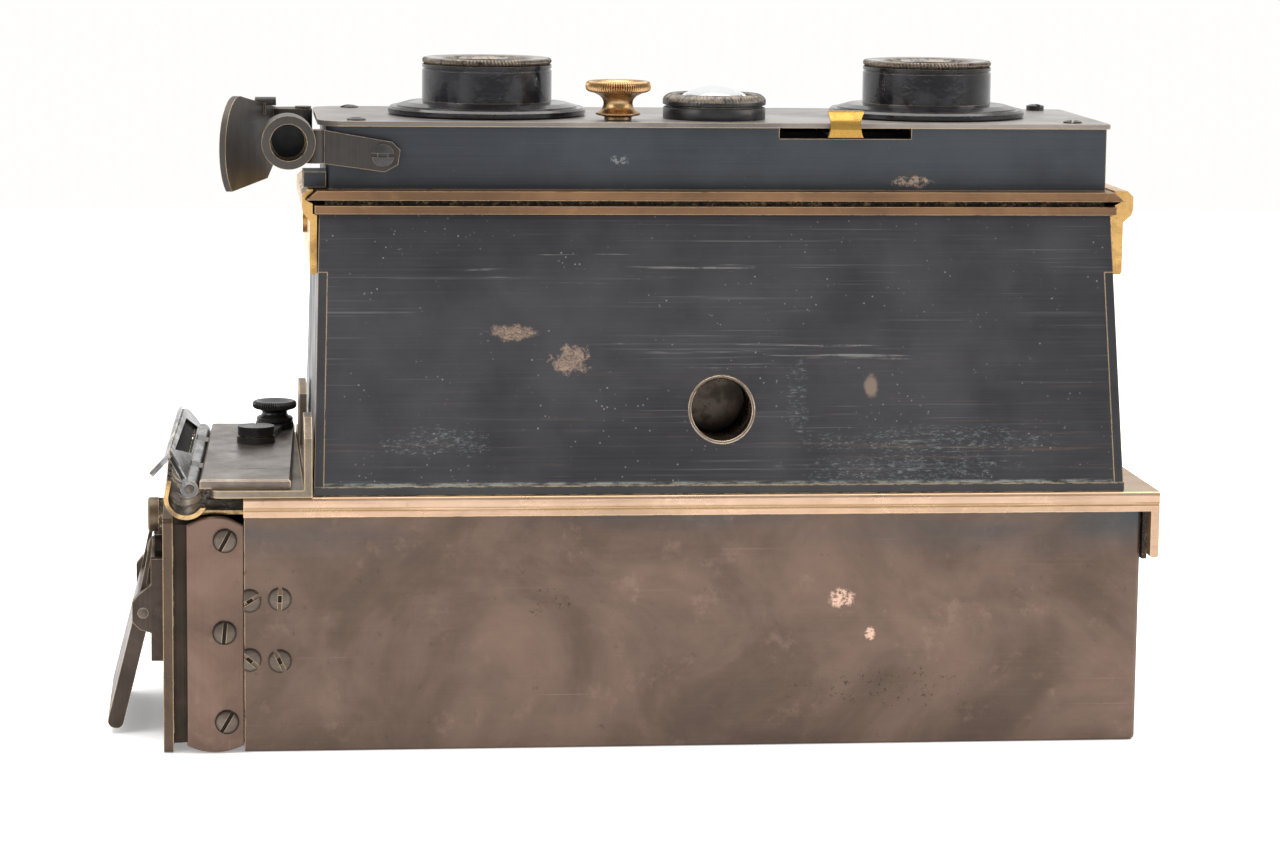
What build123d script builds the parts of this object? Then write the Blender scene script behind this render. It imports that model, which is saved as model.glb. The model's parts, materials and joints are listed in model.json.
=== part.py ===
"""Stereoscopic plate camera with a changing magazine, built as separate pieces.

Units are millimetres. The camera lies on its back: the magazine's rear face is the plane Z = 0, the
lenses look along +Z, the stereo base runs along X and the tripod bush faces -Y. X = 0 is midway
between the lens axes and Y = 0 is the plane that holds both of them.
"""

from build123d import *
import math
import os

# ---------------------------------------------------------------- driving dimensions
STEREO_BASE = 63.0
BODY_X0 = -0.5

MAG_LEFT = -66.0
STRIP_RIGHT = -66.1
MAG_RIGHT = 58.3
MAG_Y = 26.5
MAG_WALL = 0.9
MAG_TOP = 32.6
RIM_Y = 26.7
RIM_Z0 = 33.4
RIM_Z1 = 34.3
NECK_Y = 25.8

REAR_LEFT = -66.1
REAR_RIGHT = 60.6
REAR_Y = 27.5
REAR_TOP = 35.5
REAR_SHEET = 0.6
LIP_Z0 = 32.75
LIP_Z1 = 33.25
LIP_Y = 26.0
HOOK_X = 59.4
HOOK_BOTTOM = 26.2

PLINTH_TOP = 36.7
PLINTH_Y = 26.8
BODY_TOP = 73.2
BODY_TOP_Y = 18.0
BODY_HALF_TOP = 55.1
BODY_HALF_BASE = 56.0
SHEET = 0.9
SIDE_WALL = 1.25
BAND_Z = 65.3

FLANGE_TOP = 74.3
FLANGE_Y = 19.2
FLANGE_HALF = 55.7
BLOCK_Z0 = 75.1
BLOCK_Z1 = 76.35
BLOCK_Y = 19.4
BLOCK_HALF = 56.8
CASE_Y = 16.1
CASE_HALF = 54.4
CASE_WALL = 1.2
CASE_TOP = 85.0
PLATE_TOP = 85.7
PLATE_Y = 16.6
PLATE_HALF = 55.2

LENS_R = 9.15
LENS_TOP = 93.7
LENS_BORE = 5.9
CELL_R = 8.0
LENS_FLANGE_R = 13.95
REAR_CELL_R = 7.5

FINDER_Y = -7.0
FINDER_R = 7.2
KNOB_X = -14.1
KNOB_Y = -12.0

SOCKET_X = -59.8
SOCKET_Z = 83.0
SOCKET_R = 3.65
SOCKET_BORE = 2.5
LEVER_PIVOT = (-57.2, 7.0)

BUSH_Z = 46.8
BUSH_X = -0.6
BUSH_R = 4.15
BUSH_RIM_R = 4.6

APERTURE_X0 = 1.6
APERTURE_X1 = 50.5
APERTURE_Y = 21.0

PLATFORM_X = -65.0
PLATFORM_SKEW = -1.8
PLATFORM_Z0 = 36.55
PLATFORM_Z1 = 37.8
PLATFORM_HALF = 6.15
PLATFORM_Y = 26.4
CATCH_U = -7.5
CATCH_Z = 36.6
CATCH_LEAN = 58.0
LOCK_PIVOT = (-64.0, 8.0)
LOCK_KNOB = (-61.1, 22.0)

DRAWER_LEFT = -77.0
PLATE_COUNT = 12
SHEATH_PITCH = 1.9
SHEATH_TOP = 32.2
HANDLE_PIVOT = (-79.9, 17.4)
HANDLE_LEAN = 14.0
HANDLE_Y = 15.0

RUN = 0.05
SIDES = (-1, 1)

os.makedirs("parts", exist_ok=True)


# ---------------------------------------------------------------- helpers
def block(x0, x1, y0, y1, z0, z1):
    """Box between two corners."""
    size = Box(x1 - x0, y1 - y0, z1 - z0)
    return Pos((x0 + x1) / 2, (y0 + y1) / 2, (z0 + z1) / 2) * size


def rod_z(x, y, z0, z1, r):
    """Cylinder along Z."""
    return Pos(x, y, (z0 + z1) / 2) * Cylinder(r, z1 - z0)


def rod_y(x, z, y0, y1, r):
    """Cylinder along Y."""
    return Pos(x, (y0 + y1) / 2, z) * (Rot(90, 0, 0) * Cylinder(r, y1 - y0))


def rod_x(y, z, x0, x1, r):
    """Cylinder along X."""
    return Pos((x0 + x1) / 2, y, z) * (Rot(0, 90, 0) * Cylinder(r, x1 - x0))


def prism_xz(points, y0, y1):
    """Polygon drawn in X and Z, extruded along Y."""
    sketch = Plane.XZ.offset(-y1) * Polygon(*points, align=None)
    return extrude(sketch, y1 - y0, dir=(0, -1, 0))


def prism_yz(points, x0, x1):
    """Polygon drawn in Y and Z, extruded along X."""
    sketch = Plane.YZ.offset(x0) * Polygon(*points, align=None)
    return extrude(sketch, x1 - x0, dir=(1, 0, 0))


def prism_xy(points, z0, z1):
    """Polygon drawn in X and Y, extruded along Z."""
    sketch = Plane.XY.offset(z0) * Polygon(*points, align=None)
    return extrude(sketch, z1 - z0, dir=(0, 0, 1))


def turned(points):
    """Solid of revolution about Z from a closed outline of (radius, height) points."""
    outline = Plane.XZ * Polygon(*points, align=None)
    return revolve(outline, Axis.Z)


def dome(r, h, z0):
    """Spherical cap of base radius r and height h, standing on z0."""
    ball_r = (r * r + h * h) / (2 * h)
    ball = Pos(0, 0, z0 + h - ball_r) * Sphere(ball_r)
    return ball & rod_z(0, 0, z0, z0 + h + 1, r + 1)


def screw(head_r, head_h, shank_r, shank_l, slot_turn=0.0, crown=0.3):
    """Slotted screw with a low crowned head; the head stands on Z = 0 and the shank hangs below."""
    head = rod_z(0, 0, 0, head_h - crown, head_r) + dome(head_r, crown, head_h - crown)
    slot = Box(head_r * 2.2, 0.55, 1.0)
    head -= Pos(0, 0, head_h + 0.1) * (Rot(0, 0, slot_turn) * slot)
    return head + rod_z(0, 0, -shank_l, 0, shank_r)


def group(*shapes):
    """Several separate solids kept together under one name."""
    return Compound(children=[s for s in shapes])


def mirrored_x(shape):
    """Mirror image about the camera body's own middle plane."""
    return mirror(shape, Plane.YZ.offset(BODY_X0))


def body_y(z):
    """Half depth of the tapering body at height z."""
    share = (z - PLINTH_TOP) / (BODY_TOP - PLINTH_TOP)
    return PLINTH_Y - 0.2 + share * (BODY_TOP_Y - PLINTH_Y + 0.2)


def body_half(z):
    """Half width of the tapering body at height z."""
    share = (z - PLINTH_TOP) / (BODY_TOP - PLINTH_TOP)
    return BODY_HALF_BASE + share * (BODY_HALF_TOP - BODY_HALF_BASE)


def save(shape, node):
    """Write one sub-part under its node name."""
    export_step(shape, f"parts/{node}.step")


# ---------------------------------------------------------------- camera body
def body_sheets():
    """Two tapering faces and two side walls; the faces cap the walls only in the upper band."""
    z0, z1 = PLINTH_TOP, BODY_TOP
    low, high = body_y(z0), body_y(z1)
    wide = BODY_HALF_BASE + 2
    section = [(-low, z0), (-high, z1), (-high + SHEET, z1), (-low + SHEET, z0)]
    near_slab = prism_yz(section, BODY_X0 - wide, BODY_X0 + wide)
    outline = [
        (BODY_X0 - body_half(z0), z0),
        (BODY_X0 + body_half(z0), z0),
        (BODY_X0 + body_half(z1), z1),
        (BODY_X0 - body_half(z1), z1),
    ]
    near_slab &= prism_xz(outline, -PLINTH_Y - 5, PLINTH_Y + 5)
    side = [
        (BODY_X0 - body_half(z0), z0),
        (BODY_X0 - body_half(z0) + SIDE_WALL, z0),
        (BODY_X0 - body_half(z1) + SIDE_WALL, z1),
        (BODY_X0 - body_half(z1), z1),
    ]
    left = prism_xz(side, -PLINTH_Y - 5, PLINTH_Y + 5)
    left &= prism_yz([(-low, z0), (low, z0), (high, z1), (-high, z1)], -70, 0)
    band = block(-90, 90, -40, 40, BAND_Z, BODY_TOP + 1)
    near_band = near_slab & band
    far_band = mirror(near_band, Plane.XZ)
    left = left - near_band - far_band
    right = mirrored_x(left)
    near = near_band + ((near_slab - band) - left - right)
    far = mirror(near, Plane.XZ)
    near -= rod_y(BUSH_X, BUSH_Z, -40, 0, BUSH_RIM_R)
    return near, far, left, right


def tripod_bush():
    """Bush soldered behind the near face, with its bore along -Y and a closed inner end."""
    face_y = -body_y(BUSH_Z)
    inner = face_y + 10.5
    z0, z1 = PLINTH_TOP, BODY_TOP
    behind = prism_yz(
        [(-body_y(z0) + SHEET, z0), (-body_y(z1) + SHEET, z1), (0, z1), (0, z0)], -20, 20
    )
    plug = rod_y(BUSH_X, BUSH_Z, face_y - 6, inner, 7.0) & behind
    outside = prism_yz([(-body_y(z0), z0), (-body_y(z1), z1), (0, z1), (0, z0)], -20, 20)
    rim = rod_y(BUSH_X, BUSH_Z, face_y - 6, inner - 2, BUSH_RIM_R) & outside
    bush = plug + rim
    return bush - rod_y(BUSH_X, BUSH_Z, face_y - 8, inner - 1.5, BUSH_R)


def septum():
    """Partition between the two picture chambers."""
    z0, z1 = REAR_TOP, BODY_TOP
    y0, y1 = body_y(PLINTH_TOP) - SHEET - 0.1, body_y(z1) - SHEET - 0.1
    wall = prism_yz([(-y0, z0), (y0, z0), (y0, z0 + 1.2), (y1, z1), (-y1, z1), (-y0, z0 + 1.2)], -0.5, 0.5)
    return wall - rod_y(BUSH_X, BUSH_Z, -40, -body_y(BUSH_Z) + 10.7, 7.05)


def plinth():
    """Vertical-sided frame under the tapering walls."""
    half = BODY_HALF_BASE + 0.1
    frame = block(BODY_X0 - half, BODY_X0 + half, -PLINTH_Y, PLINTH_Y, REAR_TOP, PLINTH_TOP)
    inner_y = body_y(PLINTH_TOP) - SHEET
    inner_x = half - 1.4
    return frame - block(BODY_X0 - inner_x, BODY_X0 + inner_x, -inner_y, inner_y, 30, 40)


def apertures(z0, z1):
    """The pair of picture openings."""
    left = block(-APERTURE_X1, -APERTURE_X0, -APERTURE_Y, APERTURE_Y, z0, z1)
    right = block(APERTURE_X0, APERTURE_X1, -APERTURE_Y, APERTURE_Y, z0, z1)
    return left + right


def rear_frame():
    """Channel frame that the magazine rim slides into from the left, closed by a hook at the right."""
    skin = REAR_SHEET
    frame = block(REAR_LEFT, REAR_RIGHT, -REAR_Y, REAR_Y, LIP_Z0, REAR_TOP)
    frame = fillet(frame.edges().filter_by(Axis.X).group_by(Axis.Z)[-1], 0.55)
    frame -= block(-90, HOOK_X, -REAR_Y + skin, REAR_Y - skin, LIP_Z1, REAR_TOP - skin)
    frame -= block(-90, HOOK_X, -LIP_Y, LIP_Y, 30, LIP_Z1 + 0.1)
    frame -= apertures(30, 40)
    for side in SIDES:
        y0, y1 = sorted((side * (REAR_Y - 0.14), side * (REAR_Y + 1)))
        frame -= block(-90, 90, y0, y1, 33.55, 33.8)
    hook = block(HOOK_X, REAR_RIGHT, -REAR_Y, REAR_Y, HOOK_BOTTOM, LIP_Z0 + 0.5)
    hook = fillet(hook.edges().filter_by(Axis.Y).group_by(Axis.Z)[0], 0.4)
    return frame + hook


def hook_felt():
    """Light seal strip on the inside of the right-hand hook."""
    return block(58.75, HOOK_X, -25.5, 25.5, HOOK_BOTTOM - 0.5, 32.4)


def body_flange():
    """Front flange of the body."""
    x0, x1 = BODY_X0 - FLANGE_HALF, BODY_X0 + FLANGE_HALF
    frame = block(x0, x1, -FLANGE_Y, FLANGE_Y, BODY_TOP, FLANGE_TOP)
    return frame - block(-51, 50, -15.5, 15.5, 70, 80)


def joint_felt():
    """Black felt frame in the gap between the body and the front block."""
    frame = block(BODY_X0 - 54.3, BODY_X0 + 54.3, -17.6, 17.6, FLANGE_TOP, BLOCK_Z0)
    return frame - block(-51, 50, -15.5, 15.5, 70, 80)


def spring_clip(leaf, hook):
    """Right-hand leaf clip whose notched head grips the bevelled block edge; with a finger stud.

    leaf and hook are how far the leaf and the head stand out past the block's edge.
    """
    edge = BODY_X0 + BLOCK_HALF
    out, far = edge + leaf, edge + hook
    outline = [
        (edge - 1.42, 64.9),
        (edge - 1.1, 64.7),
        (out - 0.25, 64.7),
        (out, 65.05),
        (out, 72.0),
        (far - 0.15, 73.1),
        (far, 73.8),
        (far, 75.6),
        (far - 0.8, 76.4),
        (edge - 0.9, 76.4),
        (edge - 0.9, 76.15),
        (edge + 0.2, 75.2),
        (edge + 0.2, 74.95),
        (edge - 0.85, 74.4),
        (edge - 0.85, 73.05),
        (edge - 1.42, 72.85),
    ]
    body = prism_xz(outline, -17.0, 17.0)
    return body + rod_x(0, 70.9, out - 0.1, out + 0.6, 2.1)


# ---------------------------------------------------------------- front block
def block_base():
    """Bevelled base plate of the front block."""
    x0, x1 = BODY_X0 - BLOCK_HALF, BODY_X0 + BLOCK_HALF
    outline = [(x0, BLOCK_Z0), (x1, BLOCK_Z0), (x1 - 1.4, BLOCK_Z1), (x0 + 1.4, BLOCK_Z1)]
    base = prism_xz(outline, -BLOCK_Y, BLOCK_Y)
    for side in SIDES:
        base -= rod_z(side * STEREO_BASE / 2, 0, 70, 80, REAR_CELL_R)
    return base


def shutter_case():
    """Wall of the shutter box, rounded at the left corners, with the stop slot and the finder window."""
    x0, x1 = BODY_X0 - CASE_HALF + 0.3, BODY_X0 + CASE_HALF + 0.3
    outer = block(x0, x1, -CASE_Y, CASE_Y, BLOCK_Z1, CASE_TOP)
    outer = fillet(outer.edges().filter_by(Axis.Z).group_by(Axis.X)[0], 1.6)
    inner = block(x0 + CASE_WALL, x1 - CASE_WALL, -CASE_Y + CASE_WALL, CASE_Y - CASE_WALL, 70, 90)
    case = outer - inner
    case -= block(8.0, 26.5, -CASE_Y - 1, -CASE_Y + CASE_WALL + 1, 83.5, 86)
    case -= block(-4.5, 4.5, CASE_Y - CASE_WALL - 1, CASE_Y + 1, 77.4, 82.4)
    case -= block(x0 - 1, x0 + CASE_WALL + 1, -3.0, 4.0, 79.5, 83.0)
    return case


def front_plate():
    """Lens board with large left-hand corners."""
    x0, x1 = BODY_X0 - PLATE_HALF, BODY_X0 + PLATE_HALF
    plate = block(x0, x1, -PLATE_Y, PLATE_Y, CASE_TOP, PLATE_TOP)
    plate = fillet(plate.edges().filter_by(Axis.Z).group_by(Axis.X)[0], 4.0)
    plate = fillet(plate.edges().filter_by(Axis.Z).group_by(Axis.X)[-1], 0.5)
    for side in SIDES:
        plate -= rod_z(side * STEREO_BASE / 2, 0, 80, 90, CELL_R)
    plate -= rod_z(0, FINDER_Y, 80, 90, 6.0)
    plate -= rod_z(KNOB_X, KNOB_Y, 80, 90, 1.0 + RUN)
    plate -= block(KNOB_X - 5, KNOB_X + 5.5, -5.5, -5.3, PLATE_TOP - 0.15, 90)
    return plate


def plate_screws():
    """Four small screws that hold the lens board."""
    places = [(-50.4, -14.0, 0.4), (-50.4, 13.6, 0.4), (49.8, -13.8, 0.45), (50.4, 13.8, 0.95)]
    made = []
    for turn, (x, y, tall) in enumerate(places):
        made.append(Pos(x, y, PLATE_TOP) * screw(1.3, tall, 0.6, 3.0, 35.0 * turn, 0.25))
    return made


def case_lugs():
    """Threaded corner lugs inside the shutter box."""
    lugs = []
    for x in (-51.35, 51.2):
        for y in (-13.45, 13.45):
            lugs.append(block(x - 1.75, x + 1.75, y - 1.45, y + 1.45, 81.0, CASE_TOP))
    return lugs


def lens_flange(x):
    """Stepped retaining ring on the lens board."""
    r = LENS_FLANGE_R
    z = PLATE_TOP
    outline = [
        (CELL_R, z), (r - 0.25, z), (r, z + 0.3), (r, z + 0.85), (r - 0.35, z + 1.15),
        (r - 1.1, z + 1.15), (r - 1.2, z + 1.35), (r - 2.6, z + 1.75), (LENS_R, z + 1.95),
        (CELL_R, z + 1.95),
    ]
    return Pos(x, 0, 0) * turned(outline)


def lens_barrel(x):
    """Lens tube with a rolled rim, threaded down through the ring into the board."""
    z = PLATE_TOP + 1.95
    outline = [
        (CELL_R, CASE_TOP), (CELL_R, z), (LENS_R, z), (LENS_R, LENS_TOP - 0.25),
        (LENS_R - 0.25, LENS_TOP), (LENS_BORE + 0.5, LENS_TOP - 0.1), (LENS_BORE, LENS_TOP - 0.5),
        (LENS_BORE, LENS_TOP - 1.4), (7.0, LENS_TOP - 3.0), (7.0, 86.4), (6.2, 86.0),
        (6.2, CASE_TOP),
    ]
    return Pos(x, 0, 0) * turned(outline)


def lens_glass(x, z0, r, thick, crown):
    """Plano-convex element."""
    return Pos(x, 0, 0) * (rod_z(0, 0, z0, z0 + thick, r) + dome(r, crown, z0 + thick))


def rear_cell(x):
    """Rear lens cell standing in the base plate."""
    tube = rod_z(x, 0, BLOCK_Z0 - 1.2, 82.3, REAR_CELL_R) - rod_z(x, 0, 70, 90, 6.4)
    return tube + (rod_z(x, 0, 77.0, 77.4, 6.5) - rod_z(x, 0, 70, 90, 5.6))


def stop_plate():
    """Sliding plate with three stops for each lens and an arm out through the slot."""
    z0, z1 = 84.0, 84.4
    plate = block(-25, 25, 1.5, 6.4, z0, z1)
    for side in SIDES:
        middle = side * STEREO_BASE / 2
        plate += block(middle - 13.0, middle + 13.0, -6.4, 6.4, z0, z1)
    plate += block(14.7, 19.3, -17.1, -6.0, z0, z1)
    for side in SIDES:
        middle = side * STEREO_BASE / 2
        for step, r in zip((-6.5, 0.0, 6.5), (3.1, 2.2, 1.4)):
            plate -= rod_z(middle + step, 0, 80, 90, r)
    return plate


def stop_tab():
    """Waisted brass finger tab in front of the board's edge."""
    x0, x1 = 14.5, 19.5
    y0, y1 = -17.9, -17.1
    tab = block(x0, x1, y0, y1, 83.8, 87.5)
    for side, edge in zip(SIDES, (x0, x1)):
        tab -= rod_y(edge + side * 3.6, 85.5, -20, -15, 4.0)
    tab -= rod_x(y0 - 2.75, 86.1, 10, 25, 3.0)
    return tab


def shutter_blade():
    """Sliding blade that uncovers both lenses together."""
    z0, z1 = 82.8, 83.2
    blade = block(-30, 30, 1.5, 6.4, z0, z1)
    for side in SIDES:
        middle = side * STEREO_BASE / 2 - 7.0
        blade += block(middle - 11.0, middle + 11.0, -6.4, 6.4, z0, z1)
    for side in SIDES:
        blade -= rod_z(side * STEREO_BASE / 2 - 7.0, 0, 80, 90, 3.6)
    return blade


def blade_rails():
    """Two grooved rails along the box that carry the blade and the stop plate."""
    made = []
    for side in SIDES:
        y0, y1 = sorted((side * 6.0, side * 8.6))
        rail = block(-52.0, 51.5, y0, y1, 82.3, 84.7)
        rail -= block(-60, 60, -6.45, 6.45, 82.75, 83.25)
        rail -= block(-60, 60, -6.45, 6.45, 83.95, 84.45)
        rail -= block(-60, 60, -8.0, 8.0, 83.25, 83.95) & block(-60, 60, -6.45, 6.45, 80, 90)
        if side < 0:
            rail -= rod_z(0, FINDER_Y, 80, 90, 7.0)
            rail -= block(7.5, 26.5, -9, -5, 83.95, 84.75)
        for lens in SIDES:
            rail -= rod_z(lens * STEREO_BASE / 2, 0, 80, 82.5, REAR_CELL_R + 0.1)
        made.append(rail)
    return made


def tension_knob():
    """Waisted brass knob with a dished, milled head."""
    z = PLATE_TOP
    outline = [
        (0, z + 0.05), (1.9, z + 0.05), (1.9, z + 0.5), (3.1, z + 0.8), (3.1, z + 1.05),
        (2.3, z + 1.5), (1.95, z + 2.3), (2.2, z + 3.1), (3.2, z + 3.7), (4.2, z + 4.0),
        (4.55, z + 4.35), (4.55, z + 5.2), (4.2, z + 5.55), (3.4, z + 5.45), (1.8, z + 4.95),
        (0, z + 4.8),
    ]
    return Pos(KNOB_X, KNOB_Y, 0) * turned(outline)


def tension_spindle():
    """Spindle and spring drum under the tension knob."""
    spindle = rod_z(KNOB_X, KNOB_Y, 77.0, PLATE_TOP + 0.05, 1.0)
    drum = rod_z(KNOB_X, KNOB_Y, 78.0, 81.5, 2.6)
    return spindle + drum


def spindle_foot():
    """Bearing cup for the spindle on the base plate."""
    cup = rod_z(KNOB_X, KNOB_Y, BLOCK_Z1, 77.9, 2.2)
    return cup - rod_z(KNOB_X, KNOB_Y, 76.9, 80, 1.0 + RUN)


def finder_ring():
    """Two-tier knurled cell of the finder lens."""
    z, r = PLATE_TOP, FINDER_R
    outline = [
        (6.0, 84.8), (6.0, z), (r, z), (r, z + 1.55), (r - 0.4, z + 1.7), (r - 0.4, z + 1.95),
        (r + 0.05, z + 2.1), (r + 0.05, z + 3.1), (r - 0.7, z + 3.6), (5.6, z + 3.3),
        (5.4, z + 2.6), (5.4, 84.8),
    ]
    return Pos(0, FINDER_Y, 0) * turned(outline)


def finder_mirror():
    """Mirror at 45 degrees that turns the finder's view towards +Y."""
    leaf = Box(9.0, 8.6, 0.7)
    return Pos(0, FINDER_Y + 0.2, 79.9) * (Rot(-45, 0, 0) * leaf)


def mirror_cradle():
    """Bracket that carries the finder mirror."""
    y = FINDER_Y
    wedge = prism_yz([(y - 5.0, BLOCK_Z1), (y + 3.2, BLOCK_Z1), (y - 5.0, 84.2)], -4.5, 4.5)
    cut = Pos(0, y + 0.2, 79.9) * (Rot(-45, 0, 0) * Box(20, 20, 0.7))
    room = Pos(0, y + 0.2, 79.9) * (Rot(-45, 0, 0) * (Pos(0, 0, 5) * Box(20, 20, 10)))
    return wedge - cut - room


def finder_window():
    """Glass set in the far wall of the box."""
    return block(-4.5, 4.5, CASE_Y - CASE_WALL, CASE_Y - 0.2, 77.4, 82.4)


# ---------------------------------------------------------------- release
def release_bracket():
    """Arm on the near face that carries the air-release socket at its left end."""
    y0, y1 = -CASE_Y - 1.0, -CASE_Y
    arm = prism_xz(
        [(-55.6, 84.6), (-45.6, 82.9), (-44.5, 81.8), (-44.8, 79.8), (-46.6, 78.8), (-55.6, 80.0)],
        y0, y1,
    )
    knuckle = rod_z(-56.1, y0 + 0.1, 80.0, 84.6, 1.25)
    tube = rod_y(SOCKET_X, SOCKET_Z, -20.6, -14.2, SOCKET_R)
    left_of_box = block(-60, -54.7, -CASE_Y - 0.2, -10, 75, 90)
    made = arm + (knuckle - left_of_box) + tube
    made -= rod_y(SOCKET_X, SOCKET_Z, -30, 0, SOCKET_BORE - 0.2)
    return made - rod_y(SOCKET_X, SOCKET_Z, -30, -17.0, SOCKET_BORE)


def release_plunger():
    """Air piston in the socket."""
    piston = rod_y(SOCKET_X, SOCKET_Z, -15.2, -13.2, SOCKET_BORE - 0.2 - RUN)
    return piston + rod_y(SOCKET_X, SOCKET_Z, -13.2, -9.0, 0.9)


def release_lever():
    """Long finger paddle on an arm, pivoted behind the left-hand end of the box."""
    root = (-61.3, 9.0)
    tip = (-68.7, -16.0)
    length = math.dist(root, tip)
    turn = math.degrees(math.atan2(tip[1] - root[1], tip[0] - root[0]))
    frame = Plane(
        origin=(root[0], root[1], 0),
        x_dir=(math.cos(math.radians(turn)), math.sin(math.radians(turn)), 0),
        z_dir=(math.sin(math.radians(turn)), -math.cos(math.radians(turn)), 0),
    )
    edge = [
        Line((0, 79.0), (0, 86.0)),
        Line((0, 86.0), (17.5, 88.4)),
        ThreePointArc((17.5, 88.4), (length, 82.3), (22.8, 75.7)),
        Line((22.8, 75.7), (5.0, 76.2)),
        Line((5.0, 76.2), (0, 79.0)),
    ]
    paddle = extrude(frame * make_face(edge), 0.45, both=True)
    x, y = LEVER_PIVOT
    outline = [(-62.0, 7.4), (-60.4, 6.4), (x, y - 1.3), (x + 1.1, y + 1.2), (x, y + 4.5), (-61.8, 10.8)]
    arm = prism_xy(outline, 84.5, 85.9)
    hub = rod_z(x, y, 81.2, 85.9, 1.3)
    tooth = block(-58.5, -53.6, -0.6, 0.8, 80.6, 81.8) + block(-58.9, -57.4, -0.6, 7.5, 80.6, 81.8)
    lug = rod_x(2.6, 87.2, -64.1, -61.1, 0.6)
    lug += block(-64.1, -62.6, 2.0, 3.2, 85.4, 87.4)
    lever = paddle + arm + hub + tooth + lug
    return lever - rod_z(x, y, 70, 90, 0.9 + RUN)


def release_pivot():
    """Pivot pin and its lug on the box."""
    x, y = LEVER_PIVOT
    case_x = BODY_X0 - CASE_HALF + 0.3
    lug = block(x - 1.4, case_x, y - 1.4, y + 1.4, 78.6, 80.4)
    pin = rod_z(x, y, 80.4, 86.15, 0.9)
    head = rod_z(x, y, 85.95, 86.25, 1.15)
    return lug + pin + head


def release_stop():
    """Small stop block low on the left-hand end of the box."""
    case_x = BODY_X0 - CASE_HALF + 0.3
    return block(-57.7, case_x, -15.6, -9.0, 76.55, 78.7)


# ---------------------------------------------------------------- platform, lock and catch
def on_platform(shape):
    """Place a shape drawn about the platform's own middle line."""
    return Pos(PLATFORM_X, 0, 0) * (Rot(0, 0, PLATFORM_SKEW) * shape)


def platform():
    """Slightly skewed plate beside the body."""
    h, y = PLATFORM_HALF, PLATFORM_Y
    plate = block(-h, h, -y, y, PLATFORM_Z0, PLATFORM_Z1)
    plate = chamfer(plate.edges().group_by(Axis.Z)[-1], 0.25)
    return on_platform(plate)


def side_bracket():
    """Angle under the platform, with two ears standing against the body."""
    x0, x1 = -57.9, -56.8
    leg = block(-70.5, x1, -28.0, 26.0, REAR_TOP, 36.5)
    leg = fillet(leg.edges().filter_by(Axis.Z).group_by(Axis.X)[0], 1.5)
    near_ear = prism_yz([(-28, 36), (-28, 43.6), (-25.6, 46.2), (-21, 46.2), (-19, 42), (-18, 36)], x0, x1)
    far_ear = prism_yz([(2, 36), (3, 45.4), (5, 46.8), (10, 46.8), (12, 45.4), (13, 36)], x0, x1)
    wall = block(x0, x1, -28.0, 24.0, 36.0, 38.0)
    return leg + wall + near_ear + far_ear


def lock_lever():
    """Arm with a round boss at its pivot and an eye for the lock knob."""
    x, y = LOCK_PIVOT
    kx, ky = LOCK_KNOB
    z0 = PLATFORM_Z1 + 0.05
    turn = math.degrees(math.atan2(ky - y, kx - x))
    reach = math.dist((x, y), (kx, ky))
    bar = Pos((x + kx) / 2, (y + ky) / 2, z0 + 0.4) * (Rot(0, 0, turn) * Box(reach, 3.6, 0.8))
    eye = rod_z(kx, ky, z0, z0 + 0.8, 2.8)
    foot = rod_z(x, y, z0, z0 + 0.8, 2.75)
    neck = rod_z(x, y, z0 + 0.8, z0 + 1.0, 2.4)
    boss = rod_z(x, y, z0 + 1.0, z0 + 2.3, 2.62)
    lever = bar + eye + foot + neck + boss
    lever -= rod_z(x, y, 30, z0 + 1.6, 1.2 + RUN)
    lever -= rod_z(kx, ky, 30, 50, 1.0 + RUN)
    return lever - block(x - 0.15, x + 0.15, y + 0.2, y + 3, z0 + 2.1, 50)


def lock_post():
    """Fixed post that the lock lever turns on."""
    x, y = LOCK_PIVOT
    return rod_z(x, y, PLATFORM_Z1, PLATFORM_Z1 + 1.6, 1.2)


def lock_knob():
    """Dished, milled knob on the lever's eye."""
    z = PLATFORM_Z1 + 0.9
    outline = [
        (0, z - 0.9), (1.0, z - 0.9), (1.0, z), (2.7, z), (2.7, z + 0.75), (1.95, z + 1.05),
        (1.8, z + 1.5), (2.3, z + 1.85), (3.0, z + 2.0), (3.25, z + 2.3), (3.25, z + 2.85),
        (2.95, z + 3.15), (2.4, z + 3.05), (1.2, z + 2.65), (0, z + 2.55),
    ]
    return Pos(LOCK_KNOB[0], LOCK_KNOB[1], 0) * turned(outline)


def catch_point(w, lift=0.0):
    """Point at distance w up the leaning catch plate and at height lift off its middle plane."""
    lean = math.radians(CATCH_LEAN)
    u = CATCH_U - w * math.cos(lean) + lift * math.sin(lean)
    return u, CATCH_Z + w * math.sin(lean) + lift * math.cos(lean)


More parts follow.
